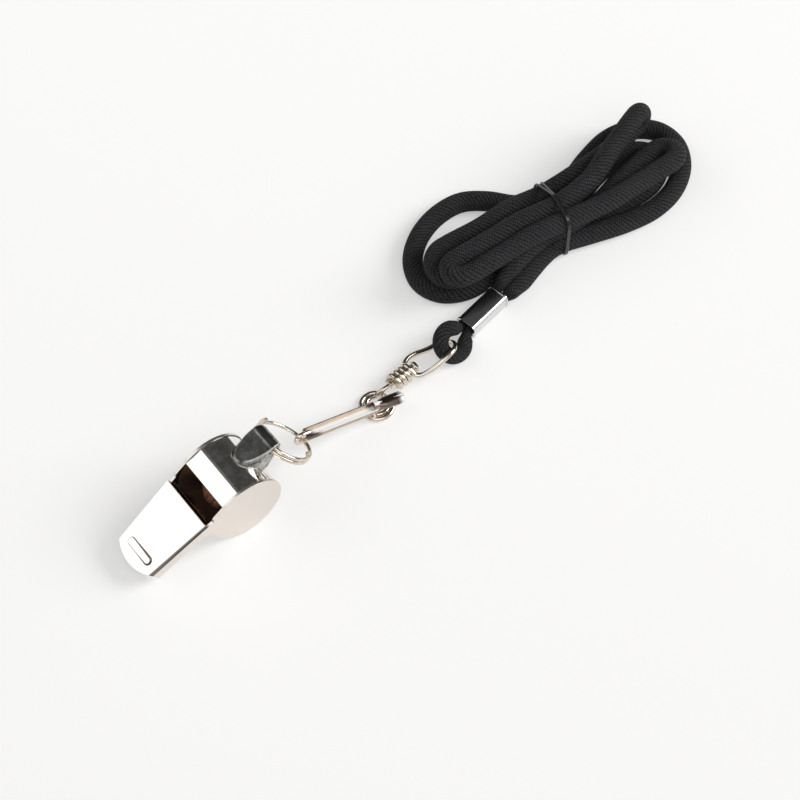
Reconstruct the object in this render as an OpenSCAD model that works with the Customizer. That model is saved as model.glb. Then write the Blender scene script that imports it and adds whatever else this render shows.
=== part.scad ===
// Pea whistle of sheet metal on a split ring, a sprung snap hook with a swivel, and a corded lanyard.
// Sizes are in millimetres. The origin is on the floor, under the middle of the whistle and hook.
// X runs from the mouthpiece to the rear, Z is up, and the whistle rests on its barrel and its mouth.

/* [Barrel] */
// Radius of the side plates' discs
disc_r = 10; // [8:0.1:13]
// Sheet thickness of a side plate
disc_t = 0.7; // [0.5:0.05:1]
// Width of the barrel over both side plates
body_w = 16.7; // [14:0.1:20]
// Step from the side plate's rim down to the barrel's skin
rim_step = 0.25; // [0.1:0.05:0.5]
// Sheet thickness of the barrel's skin
band_t = 0.6; // [0.4:0.05:0.9]
// Distance from the barrel's axis forward to the sharp lip
lip_front = 1.95; // [1:0.05:3]
// Distance from the barrel's axis back to the crease behind the lip's flat
lip_back = 2.95; // [2:0.05:4]
// Angle round from the rear to the chamber's front wall
front_wall_angle = 150; // [140:1:160]

/* [Mouthpiece] */
// Distance from the barrel's axis forward to the tip of the mouth
mouth_reach = 28.7; // [24:0.1:34]
// Radius of the mouth's rounded end, seen from above
mouth_round_r = 10.9; // [9:0.1:16]
// Distance from the barrel's axis forward to the front edge of the window
window_front = 8.1; // [7:0.1:10]
// Step in from the barrel's side to the top plate's side, at the window
plate_rear_step = 0.45; // [0.3:0.05:1]
// Step in from the barrel's side to the top plate's side, at the start of the rounded end
plate_front_step = 2; // [1.5:0.1:3]
// Distance from the barrel's axis forward to where the rounded end starts
plate_front_x = 26.6; // [22:0.1:30]
// Sheet thickness of the mouthpiece
plate_t = 0.6; // [0.4:0.05:0.9]
// Depth of the top plate's folded side flanges
flange_h = 1.35; // [1:0.05:2]
// Height of the mouth over its plates
mouth_h = 5.5; // [4.5:0.1:7]
// Height of the mouthpiece near the window
throat_h = 4.3; // [3.5:0.1:5.5]
// Height of the slit that sends the air across the window
slit_h = 1.1; // [0.8:0.05:1.6]
// Overhang of the windway floor past the top plate
tongue_over = 0.5; // [0.2:0.05:1]
// Length of the raised bite ridge
ridge_l = 8.6; // [6:0.1:10]
// Width of the bite ridge
ridge_w = 1.9; // [1.4:0.05:2.4]
// Height of the bite ridge
ridge_h = 0.3; // [0.2:0.05:0.6]
// Distance from the mouth's tip back to the bite ridge
ridge_back = 4.1; // [3:0.1:6]
// Share of the mouthpiece's length over which its underside rises
rise_share = 0.62; // [0.4:0.01:0.8]

/* [Pea] */
// Radius of the cork pea
pea_r = 5.6; // [4:0.1:6]
// Gap between the pea and the side plate that it lies near
pea_side_gap = 0.45; // [0.2:0.05:1]
// Clearance of the pea under the lip
pea_clear = 0.12; // [0.05:0.01:0.5]

/* [Bail] */
// Angle from straight up back to the bail's eye
bail_angle = 52.3; // [40:0.5:65]
// Distance from the barrel's axis to the centre of the bail's eye
bail_reach = 15; // [14:0.1:17]
// Radius of the bail's eye
bail_eye_r = 1.9; // [1.7:0.05:2.4]
// Sheet thickness of the bail's strap
bail_t = 0.65; // [0.4:0.05:1]
// Width of the bail at its eye
bail_w = 5.6; // [4.5:0.1:7]
// Width of the bail's front foot
bail_foot_w = 7.6; // [6:0.1:9]
// Angle from straight up back to the end of the bail's front foot
foot_front_angle = 17; // [10:1:25]
// Angle from straight up back to the end of the bail's rear foot
foot_rear_angle = 74; // [66:1:82]

/* [Split ring] */
// Radius of the split ring along its wire's centre
ring_r = 7.25; // [6:0.1:9]
// Radius of the ring's wire
ring_wire_r = 0.52; // [0.4:0.02:0.7]
// Angle of the ring's plane down from level
ring_tilt = 44; // [30:1:60]
// Angle about the ring, from its far point, where its wire starts
ring_start = -35; // [-60:1:-20]
// Angle through which the ring's wire runs
ring_run = 590; // [540:5:660]
// Angle along the wire where its jog from one turn to the other starts
ring_jog_from = 240; // [200:5:280]
// Angle through which the jog runs
ring_jog_run = 130; // [90:5:160]

/* [Hook] */
// Radius of the hook's wire
wire_r = 0.68; // [0.5:0.02:0.8]
// Radius of the nose's curl along the wire's centre
nose_r = 1.45; // [1.3:0.05:2]
// Length of the nose's tip past the top of its curl
tip_l = 2.2; // [1.6:0.1:3]
// Distance from the nose's curl to the gate's hinge
shank_l = 21.6; // [18:0.1:26]
// Fall of the shank from the nose to the hinge, as an angle
shank_fall = 14.1; // [10:0.1:18]
// Turn of the hook about the upright, seen from above
hook_turn = 3.6; // [0:0.1:6]
// Radius of the finger loop along the wire's centre
loop_r = 4.15; // [3.6:0.1:5.5]
// Gap between the finger loop's two turns
loop_gap = 0.06; // [0.02:0.01:0.2]
// Angle about the ring, from its far point, where the hook's nose holds it
hook_grip_angle = 3; // [0:0.5:6]
// Angle about the finger loop where its wire comes in
loop_in_angle = -42; // [-50:1:-30]
// Angle about the finger loop where its wire leaves for the neck
loop_out_angle = 62; // [50:1:70]

/* [Gate] */
// Width of the gate's channel
gate_w = 2.95; // [2.6:0.05:3.6]
// Height of the gate's side walls
gate_h = 1.2; // [0.9:0.05:1.6]
// Sheet thickness of the gate
gate_t = 0.36; // [0.28:0.02:0.5]
// Radius of the gate's thumb bar
thumb_r = 1.15; // [0.9:0.05:1.4]
// Length of the thumb bar past the hinge
thumb_l = 7.2; // [6:0.1:9]
// Radius of the hinge pin
pin_r = 0.36; // [0.28:0.02:0.5]
// Clearance of the pin in the gate's ears
pin_clear = 0.04; // [0.02:0.01:0.08]
// Thickness of the pin's riveted heads
pin_head_t = 0.25; // [0.15:0.05:0.4]
// Turn of the thumb bar to the gate's side
thumb_turn = 9; // [0:1:15]

/* [Swivel] */
// Radius of the swivel's stem
stem_r = 1.12; // [0.9:0.02:1.4]
// Clearance of the stem in its wraps
stem_clear = 0.1; // [0.04:0.01:0.15]
// Radius of the eye loop's wire
eye_wire_r = 0.72; // [0.5:0.02:0.8]
// Gap along the stem before the first wrap and after the last
stem_end_clear = 0.3; // [0.1:0.05:0.6]
// Turn of the stem about the upright, seen from above
stem_turn = 3.8; // [0:0.1:8]
// Number of wraps round the stem
wraps = 3.375; // [2.375:1:4.375]
// Distance from the last wrap to the centre of the eye loop
eye_loop_l = 9.7; // [8:0.1:13]
// Half width of the eye loop along the wire's centre
eye_loop_b = 4.3; // [3.6:0.05:5]
// Reach of the eye loop past that centre
eye_loop_a = 4.1; // [3.2:0.05:5]
// Roll of the eye loop's plane out of level
eye_loop_tilt = 36; // [20:1:45]
// Turn of the eye loop about the upright, seen from above
eye_loop_turn = -3.3; // [-8:0.1:2]
// Climb of the eye loop as an angle
eye_loop_climb = 6; // [4:0.1:9]
// Angle round the eye loop's end up to which the near strand bows out
bow_angle = 68; // [60:1:85]

/* [Cord] */
// Diameter of the lanyard's cord
cord_d = 4.6; // [4:0.1:5.4]
// Diameter of the cord where it is drawn round the eye loop
eye_cord_d = 4; // [4:0.1:5]
// Radius of the cord's eye along its centre
cord_eye_r = 3.6; // [3.2:0.05:4]
// Diameter of a strand where the ferrule squeezes it
crimped_d = 2.1; // [1.6:0.1:3]
// Length of the ferrule
ferrule_l = 13.2; // [10:0.1:16]
// Width of the ferrule
ferrule_w = 5.8; // [5:0.1:8]
// Height of the ferrule
ferrule_h = 4.6; // [3.6:0.1:6]
// Wall of the ferrule
ferrule_t = 0.45; // [0.3:0.05:0.8]
// Radius of the ferrule's long edges
ferrule_round = 1.3; // [0.8:0.1:1.8]
// Step of the ferrule's end rims
ferrule_rim = 0.2; // [0.1:0.05:0.4]
// Gap between the cord's eye and the ferrule
ferrule_gap = 0.6; // [0.4:0.05:1]
// Turn of the ferrule about the upright, seen from above
ferrule_turn = 10.5; // [6:0.5:14]
// Angle from the ferrule's own heading to its place past the cord's eye
ferrule_swing = 9; // [4:0.5:12]
// Rise of the cord's eye over the middle of the eye loop's wire
eye_sink = 0.17; // [0:0.01:0.4]
// Roll of the cord's eye out of level
eye_tilt = 40; // [34:1:46]
// Length of the cord's cut end past the ferrule
tail_l = 3.4; // [2:0.1:5]
// Radius of the cord's cut end
tail_r = 0.85; // [0.6:0.05:1.1]

/* [Hank] */
// Least gap between neighbouring strands of the hank
strand_gap = 0.66; // [0.5:0.05:1]
// Width of the band that ties the hank
tie_w = 1.4; // [0.8:0.1:3]
// Thickness of the band that ties the hank
tie_t = 0.5; // [0.3:0.05:1]
// Depth by which the band presses into the cord
tie_bite = 0.03; // [0.01:0.01:0.08]
// Turn of the hank about the upright, seen from above
hank_turn = -15; // [-18:0.5:-12]

/* [Making] */
// Overrun of every cut
cut = 0.5; // [0.2:0.1:1]
// Gap left where a wire comes back beside itself
touch = 0.02; // [0.01:0.01:0.05]
// Facets of round solids
round_fn = 64; // [48:8:96]

/* [Hidden] */

// Barrel and mouthpiece, worked out
band_r = disc_r - rim_step;
half_w = body_w / 2;
inner_half_w = half_w - disc_t;
plate_rear_w = body_w - 2 * plate_rear_step;
plate_front_w = body_w - 2 * plate_front_step;
pea_y = inner_half_w - pea_r - pea_side_gap;
top_z = disc_r;
lip_z = band_r;
mouth_low_z = top_z - mouth_h;
throat_low_z = top_z - throat_h;
rise_x = -plate_front_x + (plate_front_x - window_front) * rise_share;
// The whistle leans on its barrel and on the lower edge of its mouth
lean_l = norm([mouth_reach, mouth_low_z]);
lean = acos(-disc_r / lean_l) - atan2(mouth_reach, mouth_low_z);
// Plan of the mouthpiece
taper = (plate_rear_w - plate_front_w) / 2 / (plate_front_x - window_front);
function plan_half_w(x) = plate_rear_w / 2 + taper * (x + window_front);

// A point of the whistle's own frame in the part's frame, before the shift to the origin
function leaned(x, z) = [x * cos(lean) - z * sin(lean), 0, disc_r + x * sin(lean) + z * cos(lean)];

// Bail, in the part's frame
function round_barrel(angle, reach) = [reach * sin(angle), 0, disc_r + reach * cos(angle)];
bail_eye = round_barrel(bail_angle, bail_reach);
bail_out_r = bail_eye_r + bail_t;

// Steady and eased change from a to b
function blend(a, b, t) = a + (b - a) * t;
function ease(t) = let (c = max(0, min(1, t))) c * c * (3 - 2 * c);

// Split ring: its centre hangs out from the bail's eye
ring_out = [cos(ring_tilt), 0, -sin(ring_tilt)];
ring_up = [sin(ring_tilt), 0, cos(ring_tilt)];
ring_c = bail_eye + ring_r * ring_out;
// Share of the wire's radius by which each turn lies from the ring's middle plane
ring_turn_share = 1.03;
ring_steps = 66;

// The split ring's wire: nearly two turns, with a jog from one to the other
function ring_point(run) = let (a = ring_start - run, jog = ease((run - ring_jog_from) / ring_jog_run))
    ring_c + ring_r * (cos(a) * ring_out + [0, sin(a), 0])
    + ring_wire_r * ring_turn_share * (2 * jog - 1) * ring_up;

// Hook: its nose is centred on the ring's wire
nose = ring_point(360 + ring_start - hook_grip_angle);
hook_x = [cos(hook_turn), -sin(hook_turn), 0];
shank_x = cos(shank_fall) * hook_x - [0, 0, sin(shank_fall)];
shank_z = sin(shank_fall) * hook_x + [0, 0, cos(shank_fall)];
hinge = nose + shank_l * shank_x - nose_r * shank_z;

function unit(v) = v / norm(v);
// Cubic curve from p to q that starts along u and ends along v
function curve(p, u, q, v, t) = let (k = t * t * (3 - 2 * t), a = t * (1 - t) * (1 - t), b = t * t * (t - 1))
    blend(p, q, k) + a * u + b * v;

// Normals carried along a path without twist, and the tube round it
function tangent(p, i) = unit(p[min(i + 1, len(p) - 1)] - p[max(i - 1, 0)]);
function carried(n, t) = unit(n - (n * t) * t);
function normals(p, n0) =
    [for (i = 0, n = carried(n0, tangent(p, 0)); i < len(p); i = i + 1,
        n = i < len(p) ? carried(n, tangent(p, i)) : n) n];

module tube(path, radii, sides, n0) {
    ns = normals(path, n0);
    last = (len(path) - 1) * sides;
    points = [for (i = [0:len(path) - 1]) for (k = [0:sides - 1])
        let (t = tangent(path, i), a = 360 * (k + 0.5) / sides)
        path[i] + radii[i] * (cos(a) * ns[i] + sin(a) * cross(t, ns[i]))];
    sides_faces = [for (i = [0:len(path) - 2]) for (k = [0:sides - 1]) for (h = [0, 1])
        let (a = i * sides + k, b = i * sides + (k + 1) % sides)
        h == 0 ? [a, a + sides, b] : [b, a + sides, b + sides]];
    ends = [for (k = [1:sides - 2]) for (h = [0, 1])
        h == 0 ? [0, k, k + 1] : [last, last + k + 1, last + k]];
    polyhedron(points = points, faces = concat(sides_faces, ends), convexity = 10);
}

module plain_tube(path, r, sides, n0) {
    tube(path, [for (p = path) r], sides, n0);
}

// Frame of the whistle, leaning on its mouth
module leaning() {
    translate([0, 0, disc_r]) rotate([0, -lean, 0]) children();
}

// A profile in the whistle's own X and Z, from one Y to another
module across(y0, y1) {
    translate([0, y1, 0]) rotate([90, 0, 0]) linear_extrude(height = y1 - y0) children();
}

// The mouthpiece seen from above, with its rounded end
module mouth_plan(inset, rear) {
    front = mouth_reach + cut;
    intersection() {
        polygon([
            [-rear, plan_half_w(-rear) - inset],
            [-front, plan_half_w(-front) - inset],
            [-front, -plan_half_w(-front) + inset],
            [-rear, -plan_half_w(-rear) + inset]]);
        union() {
            translate([mouth_round_r - mouth_reach, 0]) circle(r = mouth_round_r, $fn = round_fn);
            translate([mouth_round_r - mouth_reach, -half_w])
                square([mouth_reach, body_w]);
        }
    }
}

// Profile of a side plate: the disc with the mouthpiece's wall running into it
wall_top_z = top_z - flange_h;
// Shares of the plate's thickness, of the window's distance and of the disc's radius
step_share = 2.88;
step_x = -window_front + plate_t * step_share;
throat_share = 1.45;
throat_x = -window_front * throat_share;
heel_share = 1.25;
heel_drop_share = 2;
notch_shares = [0.93, 0.3];
module side_profile() {
    circle(r = disc_r, $fn = round_fn * 2);
    polygon([
        [-lip_front, sqrt(disc_r * disc_r - lip_front * lip_front)],
        [step_x + plate_t, top_z - plate_t],
        [step_x, wall_top_z],
        [-mouth_reach, wall_top_z],
        [-mouth_reach, mouth_low_z],
        [-plate_front_x, mouth_low_z + plate_t * rise_share],
        [rise_x, throat_low_z],
        [throat_x, throat_low_z],
        [-window_front * heel_share, throat_low_z - plate_t * heel_drop_share],
        [-disc_r * notch_shares[0], disc_r * notch_shares[1]],
        [0, 0]]);
}

// One side plate: flat over the disc, then bent in along the tapering mouthpiece
bend_rear_share = 0.55;
bend_out_share = 0.33;
module side_plate(side) {
    bend_x = -disc_r * bend_rear_share;
    join_x = -window_front - plate_t;
    outer = [[disc_r + cut, half_w], [bend_x, half_w],
        [join_x, plan_half_w(join_x) + plate_t * bend_out_share],
        [-mouth_reach - cut, plan_half_w(-mouth_reach - cut)]];
    inner = [for (i = [len(outer) - 1:-1:0]) outer[i] - [0, disc_t]];
    leaning() intersection() {
        across(-half_w - cut, half_w + cut) side_profile();
        mirror([0, side < 0 ? 1 : 0, 0])
            translate([0, 0, -disc_r - cut]) linear_extrude(height = 2 * disc_r + 2 * cut)
                intersection() {
                    polygon(concat(outer, inner));
                    translate([mouth_round_r - mouth_reach, 0]) {
                        circle(r = mouth_round_r, $fn = round_fn);
                        square([2 * mouth_reach, half_w + cut]);
                    }
                }
    }
}

module left_side_plate() {
    color("gainsboro") side_plate(1);
}

module right_side_plate() {
    color("gainsboro") side_plate(-1);
}

// The barrel's skin is an arc, open at the window, with a flat lip and a front wall joined to its ends
lip_inner_share = 0.6;
// Share of the skin's thickness, and angle, by which the lip and the wall reach into the arc
joint_share = 0.12;
joint_angle = 4;
crease_angle = acos(lip_back / band_r);
skin_in_r = band_r - band_t;
function on_skin(angle, share) = (skin_in_r + band_t * share) * [cos(angle), sin(angle)];
module skin_arc() {
    open_angle = (front_wall_angle + crease_angle) / 2;
    difference() {
        circle(r = band_r, $fn = round_fn * 2);
        circle(r = skin_in_r, $fn = round_fn * 2);
        polygon([[0, 0], 2 * on_skin(crease_angle, 1), 2 * on_skin(open_angle, 1),
            2 * on_skin(front_wall_angle, 1)]);
    }
}
module lip_profile() {
    in_angle = crease_angle - joint_angle;
    polygon([[-lip_front, lip_z], on_skin(crease_angle, 1), on_skin(in_angle, 1 - joint_share),
        on_skin(in_angle, joint_share), on_skin(crease_angle, 0),
        [-lip_front * lip_inner_share, lip_z - band_t]]);
}
module front_wall_profile() {
    foot = on_skin(front_wall_angle, 1);
    in_angle = front_wall_angle + joint_angle;
    slit_low_z = top_z - plate_t - slit_h - plate_t;
    polygon([[foot[0], slit_low_z], [foot[0] + band_t, slit_low_z], on_skin(front_wall_angle, 0),
        on_skin(in_angle, joint_share), on_skin(in_angle, 1 - joint_share),
        foot]);
}
module barrel_band() {
    color("silver") leaning() {
        across(-inner_half_w, inner_half_w) skin_arc();
        across(-inner_half_w, inner_half_w) lip_profile();
        across(-inner_half_w, inner_half_w) front_wall_profile();
    }
}

// The top plate with its folded flanges and its bite ridge
module mouthpiece_top() {
    ridge_x = -mouth_reach + ridge_back;
    color("whitesmoke") leaning() {
        translate([0, 0, top_z - plate_t]) linear_extrude(height = plate_t) mouth_plan(0, window_front);
        translate([0, 0, wall_top_z]) linear_extrude(height = flange_h) difference() {
            mouth_plan(0, window_front);
            mouth_plan(plate_t, window_front - cut);
            translate([-2 * mouth_reach, -half_w]) square([2 * mouth_reach - plate_front_x, body_w]);
        }
        translate([ridge_x, 0, top_z - plate_t]) linear_extrude(height = plate_t + ridge_h) {
            square([ridge_w, ridge_l - ridge_w], center = true);
            for (side = [-1, 1]) translate([0, side * (ridge_l - ridge_w) / 2])
                circle(d = ridge_w, $fn = round_fn);
        }
    }
}

// The mouthpiece's underside, between the side walls
under_rear_shares = [0.94, 0.86];
under_bend_share = 1.4;
module mouthpiece_bottom() {
    color("lightgray") leaning() intersection() {
        across(-half_w, half_w) polygon([
            [-mouth_reach, mouth_low_z], [-plate_front_x, mouth_low_z + plate_t * rise_share],
            [rise_x, throat_low_z], [throat_x, throat_low_z],
            [-band_r * under_rear_shares[0], throat_low_z - plate_t * heel_drop_share],
            [-band_r * under_rear_shares[1], throat_low_z - plate_t],
            [-window_front * under_bend_share, throat_low_z + plate_t],
            [rise_x, throat_low_z + plate_t], [-plate_front_x, mouth_low_z + plate_t * (1 + rise_share)],
            [-mouth_reach, mouth_low_z + plate_t]]);
        linear_extrude(height = 2 * disc_r) mouth_plan(disc_t, window_front - cut);
    }
}

// The sloping floor of the windway, up to the slit
floor_wedge_shares = [1.5, 4];
module windway_floor() {
    floor_front_z = mouth_low_z + plate_t;
    floor_rear_z = top_z - plate_t - slit_h;
    color("gray") leaning() intersection() {
        across(-half_w, half_w) polygon([
            [-plate_front_x, floor_front_z + plate_t * rise_share],
            [-window_front + tongue_over, floor_rear_z],
            [-window_front + tongue_over, floor_rear_z - plate_t],
            [-window_front * under_bend_share, floor_rear_z - plate_t * floor_wedge_shares[0]],
            [-plate_front_x + plate_t * floor_wedge_shares[1], floor_front_z + plate_t * rise_share]]);
        linear_extrude(height = 2 * disc_r) mouth_plan(disc_t, window_front - tongue_over);
    }
}

// The loose cork pea at the bottom of the chamber
module cork_pea() {
    lip_flat_angle = (asin(lip_back / band_r) + asin(lip_front / band_r)) / 2;
    swing = band_r * cos(lip_flat_angle) - band_t - pea_clear - pea_r;
    color("peru") translate([0, pea_y, disc_r - swing]) sphere(r = pea_r, $fn = round_fn);
}

// The bail's side view, with Y along the eye's reach from the barrel's axis
bail_front_angle = 35;
bail_rear_angle = 12;
module bail_profile() {
    front = bail_angle - foot_front_angle;
    rear = foot_rear_angle - bail_angle;
    skin_r = band_r;
    difference() {
        union() {
            translate([0, bail_reach]) circle(r = bail_out_r, $fn = round_fn);
            polygon([
                [-bail_out_r * cos(bail_front_angle), bail_reach + bail_out_r * sin(bail_front_angle)],
                [-(skin_r + bail_t) * sin(front), (skin_r + bail_t) * cos(front)],
                [-skin_r * sin(front), skin_r * cos(front)],
                [0, skin_r - bail_t],
                [skin_r * sin(rear), skin_r * cos(rear)],
                [(skin_r + bail_t) * sin(rear), (skin_r + bail_t) * cos(rear)],
                [bail_out_r * cos(bail_rear_angle), bail_reach - bail_out_r * sin(bail_rear_angle)]]);
        }
        circle(r = skin_r, $fn = round_fn * 2);
        translate([0, bail_reach]) circle(r = bail_eye_r, $fn = round_fn);
    }
}

// The bail from outside: broad round foot in front, narrower at the eye
module bail_plan() {
    foot_x = -(band_r + bail_t) * sin(bail_angle - foot_front_angle) + bail_foot_w / 2;
    translate([foot_x, 0]) circle(d = bail_foot_w, $fn = round_fn);
    polygon([[foot_x, bail_foot_w / 2], [foot_x, -bail_foot_w / 2], [0, -bail_w / 2],
        [2 * bail_out_r, -bail_w / 2], [2 * bail_out_r, bail_w / 2], [0, bail_w / 2]]);
}

module bail() {
    color("dimgray") translate([0, 0, disc_r]) rotate([0, bail_angle, 0]) intersection() {
        across(-bail_foot_w, bail_foot_w) bail_profile();
        linear_extrude(height = bail_reach + 2 * bail_out_r) bail_plan();
    }
}

// The split ring
module split_ring() {
    path = [for (i = [0:ring_steps]) ring_point(ring_run * i / ring_steps)];
    color("silver") plain_tube(path, ring_wire_r, 8, ring_up);
}

// The finger loop is a flat spiral on the floor under the hinge, and the neck climbs over it to the stem
turn_step = 2 * wire_r + loop_gap;
loop_z = wire_r;
// Places past the hinge and past the loop's centre, as shares of the loop's radius
loop_place_shares = [0.75, 0.4];
stem_place_shares = [1.32, 0.42];
loop_c = [hinge[0], hinge[1], 0] + loop_r * concat(loop_place_shares, 0);
stem_z = stem_r + stem_clear + 2 * eye_wire_r;
stem_x = [cos(stem_turn), sin(stem_turn), 0];
stem_y = [-sin(stem_turn), cos(stem_turn), 0];
wrap_pitch = 2 * eye_wire_r + loop_gap;
wraps_l = wraps * wrap_pitch;
stem_start = loop_c + loop_r * concat(stem_place_shares, 0) + [0, 0, stem_z];
stem_spare_share = 0.1;
stem_l = (floor(wraps) + stem_spare_share) * wrap_pitch + 4 * eye_wire_r + 2 * stem_end_clear;
loop_run = 360 * 2 - (loop_out_angle - loop_in_angle);
loop_steps = 40;
// Turns after which the spiral closes in, and over which it does
spiral_turns = [0.35, 0.9];
function loop_point(t) = let (a = loop_in_angle - loop_run * t, turn = loop_run * t / 360,
        r = loop_r - turn_step * ease((turn - spiral_turns[0]) / spiral_turns[1]))
    [loop_c[0] + r * cos(a), loop_c[1] + r * sin(a), loop_z];

// The hook's wire: nose, shank, sharp bend, two turns of finger loop, and the neck
tip_fall_share = 0.04;
bend_place_shares = [0.5, 0.35];
bend_rise_share = 1.4;
// Shares of the loop's radius by which the wire holds its heading at a bend
bend_pull_shares = [2, 1, 0.7, 0.8];
neck_climb_share = 1.3;
function nose_point(a) = nose + nose_r * (sin(a) * shank_z + cos(a) * shank_x);
module hook_wire() {
    tip = nose_point(90) + tip_l * shank_x - tip_fall_share * tip_l * shank_z;
    bend_from = [loop_c[0] + loop_r * bend_place_shares[0], loop_c[1] - loop_r * bend_place_shares[1],
        loop_z + wire_r * bend_rise_share];
    loop_from = loop_point(0);
    loop_to = loop_point(1);
    exit_way = [sin(loop_out_angle), -cos(loop_out_angle), 0];
    path = concat(
        [tip],
        [for (a = [90:22.5:270]) nose_point(a)],
        [for (t = [0.3:0.35:1]) blend(nose_point(270), hinge, t)],
        [for (t = [0.25:0.25:1]) curve(hinge, loop_r * bend_pull_shares[0] * shank_x,
            bend_from, loop_r * bend_pull_shares[1] * hook_x, t)],
        [for (t = [0.3, 0.55, 0.8]) curve(bend_from, loop_r * bend_pull_shares[2] * hook_x, loop_from,
            loop_r * bend_pull_shares[3] * [sin(loop_in_angle), -cos(loop_in_angle), 0], t)],
        [for (i = [0:loop_steps]) loop_point(i / loop_steps)],
        [for (t = [0.15:0.17:1]) curve(loop_to, loop_r * (exit_way + [0, 0, neck_climb_share]),
            stem_start, loop_r * stem_x, t)]);
    color("silver") plain_tube(path, wire_r, 8, shank_z);
}

// The swivel's stem with its upset head
head_shares = [1.5, 1.2, 0.7];
module swivel_stem() {
    color("silver") translate(stem_start) rotate([0, 0, stem_turn]) rotate([0, 90, 0]) {
        cylinder(r = stem_r, h = stem_l, $fn = round_fn);
        translate([0, 0, stem_l]) cylinder(r1 = stem_r * head_shares[0], r2 = stem_r * head_shares[1],
            h = stem_r * head_shares[2], $fn = round_fn);
    }
}

// Frame of the hinge: X along the shank, Y across it
module at_hinge() {
    translate(hinge) rotate([0, 0, -hook_turn]) rotate([0, shank_fall, 0]) children();
}

// The boss on the shank that carries the pin
boss_w = gate_w - 2 * gate_t - 2 * pin_clear;
boss_share = 1.25;
boss_r = wire_r * boss_share;
module hinge_boss() {
    color("silver") at_hinge() rotate([90, 0, 0]) difference() {
        cylinder(r = boss_r, h = boss_w, center = true, $fn = round_fn);
        cylinder(r = pin_r, h = boss_w + cut, center = true, $fn = round_fn);
    }
}

// The pin, riveted over outside the gate's ears
pin_head_share = 1.7;
module hinge_pin() {
    color("silver") at_hinge() rotate([90, 0, 0]) {
        cylinder(r = pin_r, h = gate_w + 2 * pin_clear + pin_head_t, center = true, $fn = round_fn);
        for (side = [-1, 1]) translate([0, 0, side * (gate_w / 2 + pin_clear + pin_head_t / 2)])
            cylinder(r = pin_r * pin_head_share, h = pin_head_t, center = true, $fn = round_fn);
    }
}

// The gate: an open channel from the nose to the hinge, two ears, and the thumb bar
gate_floor_z = boss_r + 2 * pin_clear;
tip_under_z = 2 * nose_r - wire_r;
gate_nose_share = 0.75;
gate_nose_x = -shank_l + nose_r * gate_nose_share;
gate_rise = atan2(tip_under_z - pin_clear * 2 - gate_t - gate_floor_z, -gate_nose_x);
ear_share = 2.6;
ear_r = pin_r * ear_share;
thumb_place_share = 0.6;
thumb_fall = 4;
module gate_lever() {
    color("whitesmoke") at_hinge() {
        difference() {
            union() {
                rotate([0, gate_rise, 0]) translate([gate_nose_x, 0, gate_floor_z]) {
                    translate([0, -gate_w / 2, 0]) cube([-gate_nose_x + ear_r, gate_w, gate_t]);
                    for (side = [0, 1]) translate([0, -gate_w / 2 + side * (gate_w - gate_t), 0])
                        cube([-gate_nose_x + ear_r, gate_t, gate_h]);
                }
                for (side = [-1, 1]) translate([0, side * (gate_w - gate_t) / 2, 0]) {
                    rotate([90, 0, 0]) cylinder(r = ear_r, h = gate_t, center = true, $fn = round_fn);
                    translate([-ear_r, -gate_t / 2, 0]) cube([2 * ear_r, gate_t, gate_floor_z + gate_t]);
                }
                translate([ear_r * thumb_place_share, 0, gate_floor_z + thumb_r]) rotate([0, 0, -thumb_turn])
                    rotate([0, 90 - shank_fall + thumb_fall, 0]) {
                        cylinder(r = thumb_r, h = thumb_l, $fn = round_fn);
                        translate([0, 0, thumb_l]) sphere(r = thumb_r, $fn = round_fn);
                    }
            }
            rotate([90, 0, 0]) {
                cylinder(r = pin_r + pin_clear, h = gate_w + cut, center = true, $fn = round_fn);
                cylinder(r = boss_r + pin_clear, h = boss_w + 2 * pin_clear, center = true, $fn = round_fn);
            }
        }
    }
}

// The eye loop: wraps round the stem, then out to a far bend through the cord's eye and back
wrap_r = stem_r + stem_clear + eye_wire_r;
wraps_start = stem_start + 2 * stem_end_clear * stem_x + eye_wire_r * stem_x;
wraps_end = wraps_start + wraps_l * stem_x;
loop_far_c = wraps_end + eye_loop_l * [cos(eye_loop_turn) * cos(eye_loop_climb),
    sin(eye_loop_turn) * cos(eye_loop_climb), sin(eye_loop_climb)];
eye_loop_x = unit(loop_far_c - wraps_end);
eye_loop_y = unit(cos(eye_loop_tilt) * cross([0, 0, 1], eye_loop_x) - [0, 0, sin(eye_loop_tilt)]);
wrap_steps = 16;
// Shares of the loop's length by which the strands hold their first and last heading
leave_share = 1.2;
bow_share = 1.25;
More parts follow.
